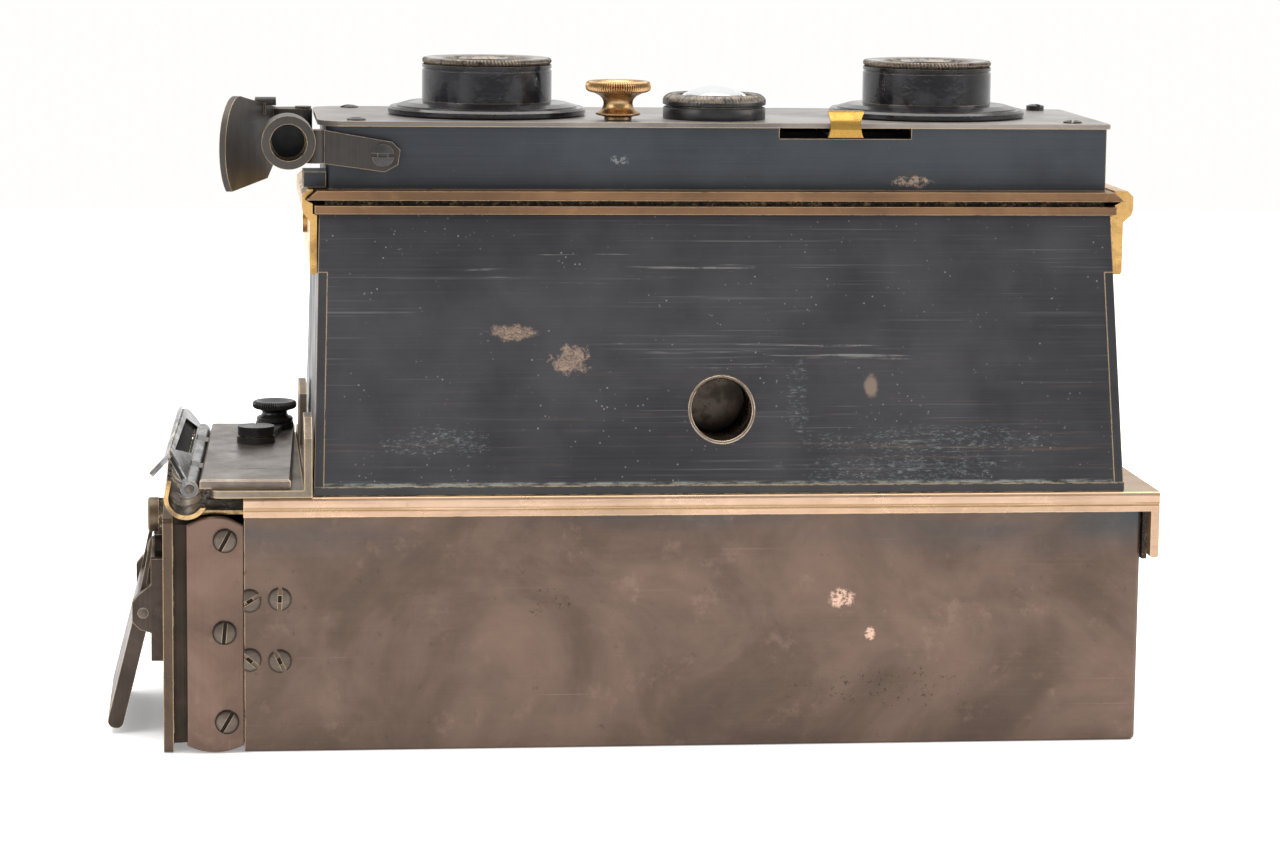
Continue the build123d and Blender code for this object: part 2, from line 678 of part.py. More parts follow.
def slide_catch():
    """Hinged catch plate with a slanted recess and a bent finger tail over the slide's grip."""
    lean = math.radians(CATCH_LEAN)
    frame = Plane(
        origin=(CATCH_U, 0, CATCH_Z),
        x_dir=(0, 1, 0),
        z_dir=(math.sin(lean), 0, math.cos(lean)),
    )
    side = math.copysign(1.0, frame.y_dir.Z)
    outline = [(-27, 0.4), (-24, 5.5), (19, 5.1), (23, 4.1), (25.2, 2.3), (26, 0.4)]
    recess = [(-19.5, 4.8), (13.5, 4.3), (20, 1.6), (-5.4, 1.6)]
    leaf = frame * Polygon(*[(v, side * w) for v, w in outline], align=None)
    floor = frame.offset(-0.12) * Polygon(*[(v, side * w) for v, w in recess], align=None)
    plate = extrude(leaf, 0.4, both=True) - extrude(floor, 2, dir=frame.z_dir)
    top = catch_point(5.3)
    tip = (top[0] - 2.25, top[1] - 2.6)
    bend = [
        (top[0] + 0.1, top[1] + 0.5), (tip[0] - 0.4, tip[1] + 0.2),
        (tip[0] + 0.15, tip[1] - 0.35), (top[0] + 0.3, top[1] - 0.35),
    ]
    tail = prism_xz(bend, -26.5, 19.5)
    barrel = rod_y(CATCH_U, CATCH_Z, -27.0, 26.0, 1.2)
    made = plate + tail + barrel - rod_y(CATCH_U, CATCH_Z, -40, 40, 0.6 + RUN)
    for y in (-12.0, 12.0):
        made -= block(CATCH_U - 1.3, CATCH_U + 3, y - 2.1, y + 2.1, CATCH_Z - 1.4, CATCH_Z + 1.35)
    return on_platform(made)


def catch_pin():
    """Hinge pin of the catch and the two knuckles that join it to the platform."""
    pin = rod_y(CATCH_U, CATCH_Z, -27.2, 26.2, 0.6)
    for y in (-12.0, 12.0):
        pin += rod_y(CATCH_U, CATCH_Z, y - 2.0, y + 2.0, 1.2)
        web = block(CATCH_U, -PLATFORM_HALF - 0.05, y - 2.0, y + 2.0, 36.7, 37.5)
        pin += web
    return on_platform(pin)


# ---------------------------------------------------------------- magazine
def mag_casing():
    """Open-ended box with a ledge for the dark slide, and a neck that enters the rear frame."""
    outer = block(MAG_LEFT, MAG_RIGHT, -MAG_Y, MAG_Y, 0, MAG_TOP)
    outer = fillet(outer.edges().filter_by(Axis.Z).group_by(Axis.X)[-1], 0.8)
    outer = fillet(outer.edges().group_by(Axis.Z)[0].group_by(Axis.X)[-1], 0.75)
    neck = block(MAG_LEFT, MAG_RIGHT - 0.2, -NECK_Y, NECK_Y, MAG_TOP - 0.2, RIM_Z0)
    casing = outer + neck
    casing -= block(-90, MAG_RIGHT - 1.0, -MAG_Y + MAG_WALL, MAG_Y - MAG_WALL, MAG_WALL, MAG_TOP - 0.6)
    casing -= block(-90, 56.9, -24.75, 24.75, 32.7, 40)
    casing -= block(-90, 56.4, -24.0, 24.0, 20, 40)
    return casing


def mag_rim():
    """Rim plate with the picture openings; it slides in the rear frame's channel."""
    rim = block(MAG_LEFT, MAG_RIGHT + 0.2, -RIM_Y, RIM_Y, RIM_Z0, RIM_Z1)
    return rim - apertures(30, 40)


def dark_slide():
    """Sheet under the rim, with its left end curled into a trough-shaped grip."""
    x, z = -73.8, 35.5
    sheet = block(-73.2, 56.4, -24.6, 24.6, 32.75, 33.3) - rod_y(x, z, -30, 30, 2.5)
    trough = rod_y(x, z, -27.5, 27.5, 3.0) - rod_y(x, z, -30, 30, 2.4)
    trough &= block(-80, -60, -30, 30, 30, z)
    trough -= block(x, -60, -30, 30, 34.1, 40)
    wall = prism_xz([(x - 3.0, z), (x - 2.55, 37.9), (x - 1.95, 37.8), (x - 2.4, z)], -27.5, 27.5)
    return sheet + trough + wall


def cover_strip(side):
    """Strip screwed over the drawer mouth, with arched ends and a rolled outer edge."""
    x0, x1 = -73.8, STRIP_RIGHT
    y0, y1 = sorted((side * (MAG_Y + 0.4), side * (MAG_Y - MAG_WALL + 0.45)))
    middle = (x0 + x1) / 2
    edge = [
        Line((x0, 1.1), (x0, 31.5)),
        ThreePointArc((x0, 31.5), (middle, 32.8), (x1, 31.5)),
        Line((x1, 31.5), (x1, 1.1)),
        ThreePointArc((x1, 1.1), (middle, 0.15), (x0, 1.1)),
    ]
    strip = extrude(Plane.XZ.offset(-y1) * make_face(edge), y1 - y0, dir=(0, -1, 0))
    outer = strip.edges().group_by(Axis.Y)[0 if side < 0 else -1]
    return fillet(outer, 0.3)


def strip_screws(side):
    """Three screws of a cover strip."""
    made = []
    for x, z, turn in ((-68.6, 29.5, 62.0), (-68.7, 16.8, 85.0), (-68.4, 4.4, 60.0)):
        one = screw(1.65, 0.5, 0.8, 1.4, turn, 0.2)
        made.append(Pos(x, side * (MAG_Y + 0.4), z) * (Rot(-90 * side, 0, 0) * one))
    return made


def strip_backing(side):
    """Inner bar that the strip and its screws hold on to."""
    y0, y1 = sorted((side * (MAG_Y - MAG_WALL + 0.45), side * 24.95))
    return block(-73.6, -66.05, y0, y1, 1.2, 31.6)


def casing_screws():
    """Screws that hold the inner guide bars to the casing; the strip's edge covers the left pair."""
    made = []
    for side in SIDES:
        places = (
            (-65.3, 21.1, 30.0), (-65.3, 12.9, -40.0), (-61.2, 21.3, 88.0), (-61.2, 12.7, 115.0)
        )
        for x, z, turn in places:
            one = screw(1.6, 0.4, 0.5, 1.6, turn, 0.15)
            one = Pos(x, side * MAG_Y, z) * (Rot(-90 * side, 0, 0) * one)
            made.append(one & block(STRIP_RIGHT, 0, -40, 40, 0, 40))
    return made


# ---------------------------------------------------------------- drawer
def drawer_tray():
    """Drawer with a floor, two side walls and a right-hand end."""
    x0, x1, y1 = -75.65, 56.0, 24.8
    tray = block(x0, x1, -y1, y1, 1.1, 31.4)
    tray -= block(-71.0, x1 - 0.9, -y1 + 0.8, y1 - 0.8, 1.8, 40)
    return tray


def end_plate():
    """Drawer front."""
    plate = block(DRAWER_LEFT, -75.65, -MAG_Y, MAG_Y, 0.1, 32.4)
    return fillet(plate.edges().filter_by(Axis.X), 0.6)


def sheath(z):
    """Folded metal sheath for one plate, open at the top over the picture."""
    box = block(-54.9, 54.9, -23.3, 23.3, z, z + 1.75)
    return box - block(-54.0, 54.0, -22.4, 22.4, z + 0.3, z + 2)


def glass_plate(z):
    """One glass plate lying in its sheath."""
    return block(-53.6, 53.6, -22.3, 22.3, z + 0.3, z + 1.55)


def stack_levels():
    """Heights of the sheaths from the bottom of the stack."""
    first = SHEATH_TOP - PLATE_COUNT * SHEATH_PITCH
    return [first + n * SHEATH_PITCH for n in range(PLATE_COUNT)]


def pressure_spring(x):
    """Bowed leaf under the follower."""
    z0, rise, half, thick = 1.8, 4.9, 22.0, 0.5
    r = (half * half + rise * rise) / (2 * rise)
    ring = rod_x(0, z0 + rise - r, x - 5, x + 5, r) - rod_x(0, z0 + rise - r, x - 6, x + 6, r - thick)
    return ring & block(x - 5, x + 5, -half + 1, half - 1, z0, z0 + rise + 1)


def follower():
    """Pressure plate under the stack."""
    z1 = stack_levels()[0]
    return block(-54.5, 54.5, -22.8, 22.8, z1 - 0.9, z1)


def handle_bracket():
    """Cheeks that carry the pull handle."""
    x1 = DRAWER_LEFT
    base = block(x1 - 1.8, x1, -HANDLE_Y - 0.6, HANDLE_Y + 0.6, 10.6, 25.0)
    px, pz = HANDLE_PIVOT
    made = base
    for side in SIDES:
        y0, y1 = sorted((side * (HANDLE_Y + 0.6), side * (HANDLE_Y - 1.0)))
        outline = [
            (x1 - 1.6, pz + 4.1), (px - 0.8, pz + 2.4), (px - 1.5, pz + 1.5), (px - 1.5, pz - 1.2),
            (px - 0.5, pz - 2.3), (x1 - 1.6, pz - 2.9),
        ]
        cheek = prism_xz(outline, y0, y1)
        made += cheek
    made -= block(-90, x1 - 1.2, -HANDLE_Y + 1.0, HANDLE_Y - 1.0, 0, 30)
    made -= block(-90, x1, -13.8, 13.8, 17.0, 30)
    return made - rod_y(px, pz, -30, 30, 0.7)


def pull_handle():
    """Pull tab leaning out from the drawer front, with a thin finger above the pivot at each end."""
    px, pz = HANDLE_PIVOT
    y = HANDLE_Y - 1.1
    low = block(-1.1, 1.1, -y, y, -17.1, 1.3)
    low = fillet(low.edges().filter_by(Axis.Y), 1.0)
    finger = [
        (px - 0.95, pz + 0.4), (px - 0.3, pz + 3.4), (px + 0.43, pz + 6.8), (px + 0.95, pz + 9.9),
        (px + 1.4, pz + 9.9), (px + 1.0, pz + 6.8), (px + 0.4, pz + 3.4), (px + 0.6, pz + 0.4),
    ]
    handle = Pos(px, 0, pz) * (Rot(0, HANDLE_LEAN, 0) * low)
    handle += prism_xz(finger, -13.4, -12.1) + prism_xz(finger, 12.1, 13.4)
    return handle - rod_y(px, pz, -30, 30, 0.7 + RUN)


def handle_pin():
    """Pin through the cheeks and the handle."""
    px, pz = HANDLE_PIVOT
    return rod_y(px, pz, -HANDLE_Y - 0.6, HANDLE_Y + 0.6, 0.7)


def counter_button():
    """Flat-headed turn button of the plate counter."""
    x1 = DRAWER_LEFT
    head = rod_x(-10, 30.35, x1 - 2.2, x1 - 0.7, 2.4)
    return fillet(head.edges().group_by(Axis.X)[0], 0.3)


def counter_washer():
    """Dark washer under the counter button."""
    return rod_x(-10, 30.35, DRAWER_LEFT - 0.7, DRAWER_LEFT, 2.8) & block(-90, 0, -20, 0, 0, 32.4)


def domed_rivet():
    """Round-headed rivet on the drawer front, between the two fingers of the pull handle."""
    cap = Rot(0, -90, 0) * (rod_z(0, 0, 0, 1.3, 1.8) + dome(1.8, 1.1, 1.3))
    return Pos(DRAWER_LEFT, -10, 25.65) * cap


# ---------------------------------------------------------------- assembly
def main():
    """Build every piece, cut the seats of the fasteners and write the files."""
    near, far, left, right = body_sheets()
    bush = tripod_bush()
    save(group(near, far), "body_faces")
    save(group(left, right), "body_walls")
    save(bush, "tripod_bush")
    save(septum(), "septum")
    save(plinth(), "body_plinth")
    save(rear_frame(), "rear_frame")
    save(body_flange(), "body_flange")
    save(group(hook_felt(), joint_felt()), "light_seals")
    save(spring_clip(0.4, 1.75), "clip_right")
    save(mirrored_x(spring_clip(-0.45, 0.6)), "clip_left")

    screws = plate_screws()
    plate, lugs = front_plate(), case_lugs()
    for one in screws:
        plate -= one
        lugs = [lug - one for lug in lugs]
    case = shutter_case()
    for lug in lugs:
        case += lug
    case += release_stop()
    bracket = release_bracket()
    arm_screw = Pos(-46.9, -CASE_Y - 1.0, 81.1) * (Rot(90, 0, 0) * screw(1.55, 0.35, 0.7, 2.2, 0.0, 0.12))
    bracket -= arm_screw
    case -= arm_screw
    save(block_base() + spindle_foot(), "block_base")
    save(case, "shutter_case")
    save(plate, "front_plate")
    save(group(*screws, arm_screw), "front_screws")
    save(bracket, "release_bracket")
    x = STEREO_BASE / 2
    save(group(lens_flange(-x), lens_flange(x)), "lens_flanges")
    save(lens_barrel(-x), "lens_barrel_left")
    save(lens_barrel(x), "lens_barrel_right")
    save(group(*[lens_glass(side * x, 86.4, 7.0, 0.9, 1.5) for side in SIDES]), "front_glasses")
    save(group(rear_cell(-x), rear_cell(x)), "rear_cells")
    save(group(*[lens_glass(side * x, 77.4, 6.4, 0.9, 1.3) for side in SIDES]), "rear_glasses")
    save(stop_plate(), "stop_plate")
    save(stop_tab(), "stop_tab")
    save(shutter_blade(), "shutter_blade")
    save(group(*blade_rails()), "blade_rails")
    save(tension_knob(), "tension_knob")
    save(tension_spindle(), "tension_spindle")
    save(finder_ring(), "finder_ring")
    glass = Pos(0, FINDER_Y, 0) * (rod_z(0, 0, 87.2, 88.3, 5.4) + dome(5.4, 2.0, 88.3))
    save(glass, "finder_glass")
    save(finder_mirror(), "finder_mirror")
    save(mirror_cradle(), "mirror_cradle")
    save(finder_window(), "finder_window")
    save(release_plunger(), "release_plunger")
    save(release_lever(), "release_lever")
    save(release_pivot(), "release_pivot")

    save(platform() + lock_post(), "platform")
    save(side_bracket(), "side_bracket")
    save(lock_lever(), "lock_lever")
    save(lock_knob(), "lock_knob")
    save(slide_catch(), "slide_catch")
    save(catch_pin(), "catch_pin")

    casing = mag_casing()
    held = casing_screws()
    for one in held:
        casing -= one
    save(casing, "mag_casing")
    save(mag_rim(), "mag_rim")
    save(dark_slide(), "dark_slide")
    strips, backs, turned_in = [], [], []
    for side in SIDES:
        strip, back = cover_strip(side), strip_backing(side)
        for one in strip_screws(side):
            strip -= one
            back -= one
            turned_in.append(one)
        strips.append(strip)
        backs.append(back)
    save(group(*strips), "cover_strips")
    save(group(*backs), "strip_backings")
    save(group(*turned_in, *held), "magazine_screws")

    save(drawer_tray(), "drawer_tray")
    save(end_plate(), "drawer_front")
    levels = stack_levels()
    save(group(*[sheath(z) for z in levels]), "plate_sheaths")
    save(group(*[glass_plate(z) for z in levels]), "glass_plates")
    save(follower(), "follower")
    save(group(pressure_spring(-28), pressure_spring(28)), "pressure_springs")
    save(handle_bracket(), "handle_bracket")
    save(pull_handle(), "pull_handle")
    save(handle_pin(), "handle_pin")
    save(counter_button(), "counter_button")
    save(counter_washer(), "counter_washer")
    save(domed_rivet(), "domed_rivet")


main()
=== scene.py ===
"""Looks of the stereoscopic plate camera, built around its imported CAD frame."""

import json
import math

import bmesh
import bpy
from mathutils import Matrix, Vector


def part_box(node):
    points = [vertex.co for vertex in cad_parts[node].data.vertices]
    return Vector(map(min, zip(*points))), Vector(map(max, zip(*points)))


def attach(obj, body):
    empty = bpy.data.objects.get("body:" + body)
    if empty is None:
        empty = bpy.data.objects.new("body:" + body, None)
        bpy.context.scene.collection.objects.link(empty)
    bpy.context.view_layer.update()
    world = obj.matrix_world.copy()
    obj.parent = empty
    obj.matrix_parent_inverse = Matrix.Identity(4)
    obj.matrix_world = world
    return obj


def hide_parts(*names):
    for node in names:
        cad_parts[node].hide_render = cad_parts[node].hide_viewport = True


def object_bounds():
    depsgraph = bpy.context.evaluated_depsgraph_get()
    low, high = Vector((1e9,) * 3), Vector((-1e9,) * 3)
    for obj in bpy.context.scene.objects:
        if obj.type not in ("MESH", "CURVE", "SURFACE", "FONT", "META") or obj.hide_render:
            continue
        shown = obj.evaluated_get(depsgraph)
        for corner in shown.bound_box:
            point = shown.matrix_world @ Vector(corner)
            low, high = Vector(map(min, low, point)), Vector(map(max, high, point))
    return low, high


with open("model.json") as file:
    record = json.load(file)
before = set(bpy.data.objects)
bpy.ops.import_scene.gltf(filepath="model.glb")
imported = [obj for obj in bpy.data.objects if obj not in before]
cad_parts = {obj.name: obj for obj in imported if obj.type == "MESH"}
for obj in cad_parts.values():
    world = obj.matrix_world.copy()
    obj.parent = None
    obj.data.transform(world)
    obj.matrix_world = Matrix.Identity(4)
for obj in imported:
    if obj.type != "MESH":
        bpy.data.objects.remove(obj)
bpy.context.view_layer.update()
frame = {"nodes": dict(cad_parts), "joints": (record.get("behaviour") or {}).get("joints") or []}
nodes = frame["nodes"]
MM = 0.001

# Viewing angle in degrees, aim and lens in millimetres, distance in metres.
CAMERA_YAW, CAMERA_RISE, CAMERA_ROLL = 6.43, 8.38, 0.68
CAMERA_AIM = (-9.15, 0, 40.85)
CAMERA_DISTANCE = 0.5463
CAMERA_SENSOR, CAMERA_LENS = 36, 106.875
FLOOR_HALF, FLOOR_GLOW = 0.8, 0.3

# Places on the object in millimetres.
PLATE_TOP, RING_TOP = 85.7, 87.65
LENS_RIM, FINDER_RIM = (92.9, 93.62), (88.15, 89.1)
FACE_BASE, FACE_TOP, FACE_BASE_Z, FACE_HEIGHT = 26.6, 18.0, 36.7, 36.5
CATCH_LEAN = 58.0

WORN_BRASS = (0.72, 0.52, 0.30)
TAN = (0.42, 0.32, 0.24)
CHALK = (0.36, 0.40, 0.38)
BODY_DARK, BODY_LIGHT = (0.022, 0.022, 0.026), (0.041, 0.040, 0.045)


# ---------------------------------------------------------------- camera, floor and light
def make_camera():
    """Camera looking slightly down and slightly from the left at the near face."""
    yaw, rise, roll = (math.radians(a) for a in (CAMERA_YAW, CAMERA_RISE, CAMERA_ROLL))
    ahead = Vector((math.sin(yaw) * math.cos(rise), math.cos(yaw) * math.cos(rise), -math.sin(rise)))
    level = Vector((math.cos(yaw), -math.sin(yaw), 0))
    upright = level.cross(ahead)
    right = level * math.cos(roll) + upright * math.sin(roll)
    up = upright * math.cos(roll) - level * math.sin(roll)
    place = Vector(CAMERA_AIM) * MM - ahead * CAMERA_DISTANCE
    lens = bpy.data.cameras.new("camera")
    lens.sensor_width = CAMERA_SENSOR
    lens.lens = CAMERA_LENS
    lens.clip_start = 0.01
    lens.clip_end = 20
    camera = bpy.data.objects.new("camera", lens)
    turn = Matrix((right, up, -ahead)).transposed().to_4x4()
    camera.matrix_world = Matrix.Translation(place) @ turn
    bpy.context.collection.objects.link(camera)
    bpy.context.scene.camera = camera


def make_floor():
    """Plain pale floor."""
    mesh = bpy.data.meshes.new("floor")
    half = FLOOR_HALF
    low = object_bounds()[0][2]
    corners = [(-half, -half, low), (half, -half, low), (half, half, low), (-half, half, low)]
    mesh.from_pydata(corners, [], [(0, 1, 2, 3)])
    floor = bpy.data.objects.new("floor", mesh)
    bpy.context.collection.objects.link(floor)
    g = Graph("floor_paper")
    tone = g.mix(g.noise(0.004, detail=2), (0.93, 0.925, 0.92), (0.96, 0.955, 0.95))
    g.set(color=tone, roughness=0.9)
    g.bsdf.inputs["Emission Color"].default_value = (1, 0.995, 0.985, 1)
    g.bsdf.inputs["Emission Strength"].default_value = FLOOR_GLOW
    mesh.materials.append(g.mat)


def area_light(name, place, aim, size, power):
    """Soft rectangular light."""
    lamp = bpy.data.lights.new(name, "AREA")
    lamp.shape = "RECTANGLE"
    lamp.size, lamp.size_y = size
    lamp.energy = power
    made = bpy.data.objects.new(name, lamp)
    made.location = place
    made.rotation_euler = (Vector(aim) - Vector(place)).to_track_quat("-Z", "Y").to_euler()
    bpy.context.collection.objects.link(made)


def make_light():
    """White surroundings, brighter behind the object than in front, and soft boxes."""
    world = bpy.data.worlds.new("studio")
    bpy.context.scene.world = world
    world.use_nodes = True
    tree = world.node_tree
    tree.nodes.clear()
    coord = tree.nodes.new("ShaderNodeTexCoord")
    split = tree.nodes.new("ShaderNodeSeparateXYZ")
    tree.links.new(coord.outputs["Generated"], split.inputs[0])
    depth = tree.nodes.new("ShaderNodeMapRange")
    depth.inputs["From Min"].default_value = -1.0
    depth.inputs["From Max"].default_value = 0.35
    depth.inputs["To Min"].default_value = 0.42
    depth.inputs["To Max"].default_value = 1.0
    tree.links.new(split.outputs["Y"], depth.inputs["Value"])
    path = tree.nodes.new("ShaderNodeLightPath")
    seen = tree.nodes.new("ShaderNodeMath")
    seen.operation = "MAXIMUM"
    tree.links.new(depth.outputs[0], seen.inputs[0])
    tree.links.new(path.outputs["Is Camera Ray"], seen.inputs[1])
    sky = tree.nodes.new("ShaderNodeBackground")
    sky.inputs["Color"].default_value = (1.0, 0.995, 0.985, 1)
    tree.links.new(seen.outputs[0], sky.inputs["Strength"])
    out = tree.nodes.new("ShaderNodeOutputWorld")
    tree.links.new(sky.outputs[0], out.inputs[0])
    area_light("top_box", (0.0, 0.15, 1.1), (0, 0, 0), (1.4, 1.0), 16)
    area_light("left_box", (-1.0, -0.5, 0.55), (0, 0, 0.04), (0.7, 0.7), 4.5)
    area_light("right_box", (1.0, -0.35, 0.5), (0, 0, 0.04), (0.7, 0.7), 4.0)
    bpy.context.scene.view_settings.view_transform = "Standard"


# ---------------------------------------------------------------- material graphs
class Graph:
    """Small builder for one procedural material, with coordinates in millimetres."""

    def __init__(self, name):
        self.mat = bpy.data.materials.new(name)
        self.mat.use_nodes = True
        self.tree = self.mat.node_tree
        self.tree.nodes.clear()
        out = self.add("ShaderNodeOutputMaterial")
        self.bsdf = self.add("ShaderNodeBsdfPrincipled")
        self.tree.links.new(self.bsdf.outputs[0], out.inputs[0])
        coord = self.add("ShaderNodeTexCoord")
        scale = self.add("ShaderNodeVectorMath", operation="SCALE")
        scale.inputs["Scale"].default_value = 1000
        self.feed(scale.inputs[0], coord.outputs["Object"])
        self.mm = scale.outputs[0]
        self.seed = 0

    def add(self, kind, **facts):
        node = self.tree.nodes.new(kind)
        for key, value in facts.items():
            setattr(node, key, value)
        return node

    def feed(self, socket, value):
        """Link a socket or set a plain value."""
        if isinstance(value, bpy.types.NodeSocket):
            self.tree.links.new(value, socket)
        elif isinstance(value, tuple) and len(value) == 3 and socket.type == "RGBA":
            socket.default_value = (*value, 1)
        else:
            socket.default_value = value

    def math(self, operation, a, b=0.0):
        node = self.add("ShaderNodeMath", operation=operation)
        self.feed(node.inputs[0], a)
        self.feed(node.inputs[1], b)
        return node.outputs[0]

    def times(self, *values):
        made = values[0]
        for value in values[1:]:
            made = self.math("MULTIPLY", made, value)
        return made

    def most(self, *values):
        made = values[0]
        for value in values[1:]:
            made = self.math("MAXIMUM", made, value)
        return made

    def flip(self, value):
        return self.math("SUBTRACT", 1.0, value)

    def span(self, value, low, high, to_low=0.0, to_high=1.0):
        """Value mapped from low..high to a new range, clamped and smooth."""
        node = self.add("ShaderNodeMapRange", interpolation_type="SMOOTHSTEP")
        self.feed(node.inputs["Value"], value)
        node.inputs["From Min"].default_value = low
        node.inputs["From Max"].default_value = high
        node.inputs["To Min"].default_value = to_low
        node.inputs["To Max"].default_value = to_high
        return node.outputs[0]

    def mix(self, share, a, b):
        node = self.add("ShaderNodeMix", data_type="RGBA")
        self.feed(node.inputs["Factor"], share)
        self.feed(node.inputs[6], a)
        self.feed(node.inputs[7], b)
        return node.outputs[2]

    def place(self, scale):
        """Millimetre coordinates stretched by scale, shifted so that no two patterns match."""
        self.seed += 1
        node = self.add("ShaderNodeMapping")
        self.feed(node.inputs["Vector"], self.mm)
        node.inputs["Scale"].default_value = scale if isinstance(scale, tuple) else (scale,) * 3
        node.inputs["Location"].default_value = (self.seed * 7.31, self.seed * 3.17, self.seed * 5.53)
        return node.outputs[0]

    def noise(self, scale, detail=4.0, rough=0.55, warp=0.0):
        node = self.add("ShaderNodeTexNoise")
        self.feed(node.inputs["Vector"], self.place(scale))
        node.inputs["Scale"].default_value = 1.0
        node.inputs["Detail"].default_value = detail
        node.inputs["Roughness"].default_value = rough
        node.inputs["Distortion"].default_value = warp
        return node.outputs["Fac"]

    def cells(self, scale):
        node = self.add("ShaderNodeTexVoronoi", feature="F1")
        self.feed(node.inputs["Vector"], self.place(scale))
        node.inputs["Scale"].default_value = 1.0
        return node.outputs["Distance"]

    def edge(self, radius, low=0.06, high=0.3):
        """1 along the piece's sharp edges within radius millimetres."""
        bevel = self.add("ShaderNodeBevel", samples=6)
        bevel.inputs["Radius"].default_value = radius * MM
        flat = self.add("ShaderNodeNewGeometry")
        turn = self.add("ShaderNodeVectorMath", operation="DOT_PRODUCT")
        self.feed(turn.inputs[0], bevel.outputs[0])
        self.feed(turn.inputs[1], flat.outputs["Normal"])
        return self.span(self.flip(turn.outputs["Value"]), low, high)

    def worn_edges(self, radius, wear, patches, low, high):
        """Bare metal along the edges where patches is high; more wear bares more of them."""
        bared = self.span(patches, low - wear * 0.4, high - wear * 0.4)
        return self.times(self.edge(radius), bared)

    def blob(self, centre, size, ragged=0.6, grain=0.5):
        """Ragged patch of the given half size about a point, both in millimetres."""
        scale = self.add("ShaderNodeVectorMath", operation="DIVIDE")
        self.feed(scale.inputs[0], self.shift(centre))
        scale.inputs[1].default_value = size
        far = self.add("ShaderNodeVectorMath", operation="LENGTH")
        self.feed(far.inputs[0], scale.outputs[0])
        wave = self.math("SUBTRACT", self.noise(grain, detail=5, rough=0.7), 0.5)
        reach = self.math("ADD", far.outputs["Value"], self.times(wave, ragged * 4))
        return self.span(reach, 1.0, 0.55)

    def shift(self, origin):
        """Millimetre coordinates measured from origin."""
        node = self.add("ShaderNodeVectorMath", operation="SUBTRACT")
        self.feed(node.inputs[0], self.mm)
        node.inputs[1].default_value = origin
        return node.outputs[0]

    def dot(self, vector, direction):
        """Reach of a vector along a direction."""
        node = self.add("ShaderNodeVectorMath", operation="DOT_PRODUCT")
        self.feed(node.inputs[0], vector)
        node.inputs[1].default_value = direction
        return node.outputs["Value"]

    def normal(self):
        """Facing direction of the piece's own surface at rest."""
        return self.add("ShaderNodeTexCoord").outputs["Normal"]

    def axis(self, name):
        """One millimetre coordinate of the piece at rest."""
        split = self.add("ShaderNodeSeparateXYZ")
        self.feed(split.inputs[0], self.mm)
        return split.outputs[name]

    def bump(self, height, depth):
        """Relief of the given depth in millimetres."""
        node = self.add("ShaderNodeBump")
        node.inputs["Distance"].default_value = depth * MM
        node.inputs["Strength"].default_value = 1.0
        self.feed(node.inputs["Height"], height)
        self.feed(self.bsdf.inputs["Normal"], node.outputs[0])

    def set(self, color=None, roughness=None, metallic=None, **more):
        names = {"color": "Base Color", "roughness": "Roughness", "metallic": "Metallic"}
        values = {"color": color, "roughness": roughness, "metallic": metallic}
        for key, value in values.items():
            if value is not None:
                self.feed(self.bsdf.inputs[names[key]], value)
        for key, value in more.items():
            self.feed(self.bsdf.inputs[key], value)


def streaks(g, along):
    """Fine scratches along X, Y or Z."""
    length, width = 26.0, 0.16
    scale = tuple(1.0 / length if axis == along else 1.0 / width for axis in "XYZ")
    fine = g.noise(scale, detail=3, rough=0.6)
    where = g.span(g.noise(0.06, detail=3), 0.42, 0.62)
    return g.times(g.span(fine, 0.66, 0.74), where)


def blackened(name, dark, light, along="X", wear=0.7, edge=0.28, rough=(0.36, 0.55), marks=()):
    """Brass under a thin satin black finish, scratched along one direction and worn at its edges."""
    g = Graph(name)
    cloud = g.span(g.noise(0.045, detail=5, rough=0.6), 0.36, 0.66)
    color = g.mix(cloud, dark, light)
    brushed = g.noise(tuple(0.02 if a == along else 4.0 for a in "XYZ"), detail=2)
    color = g.mix(g.span(brushed, 0.3, 0.8, 0.0, 0.2), color, tuple(c * 1.6 for c in light))
    fine = streaks(g, along)
    color = g.mix(g.times(fine, 0.5), color, (0.20, 0.20, 0.20))
    speck = g.times(g.span(g.noise(1.4, detail=3, rough=0.7), 0.70, 0.76), g.span(g.noise(0.09), 0.45, 0.6))
    color = g.mix(g.times(speck, 0.75), color, (0.30, 0.26, 0.21))
    for colour, strength, mask in marks:
        color = g.mix(g.times(mask(g), strength), color, colour)
    bare = g.worn_edges(edge, wear, g.noise(0.5, detail=4, rough=0.7), 0.62, 0.72)
    color = g.mix(bare, color, WORN_BRASS)
    gloss = g.span(g.noise(0.12, detail=5), 0.3, 0.7, rough[0], rough[1])
    g.set(color=color, roughness=gloss, metallic=g.most(g.times(bare, 0.9), 0.25))
    relief = g.math("ADD", g.times(brushed, 0.35), g.times(g.noise(0.6, detail=4), 0.65))
    g.bump(relief, 0.035)
    return g.mat


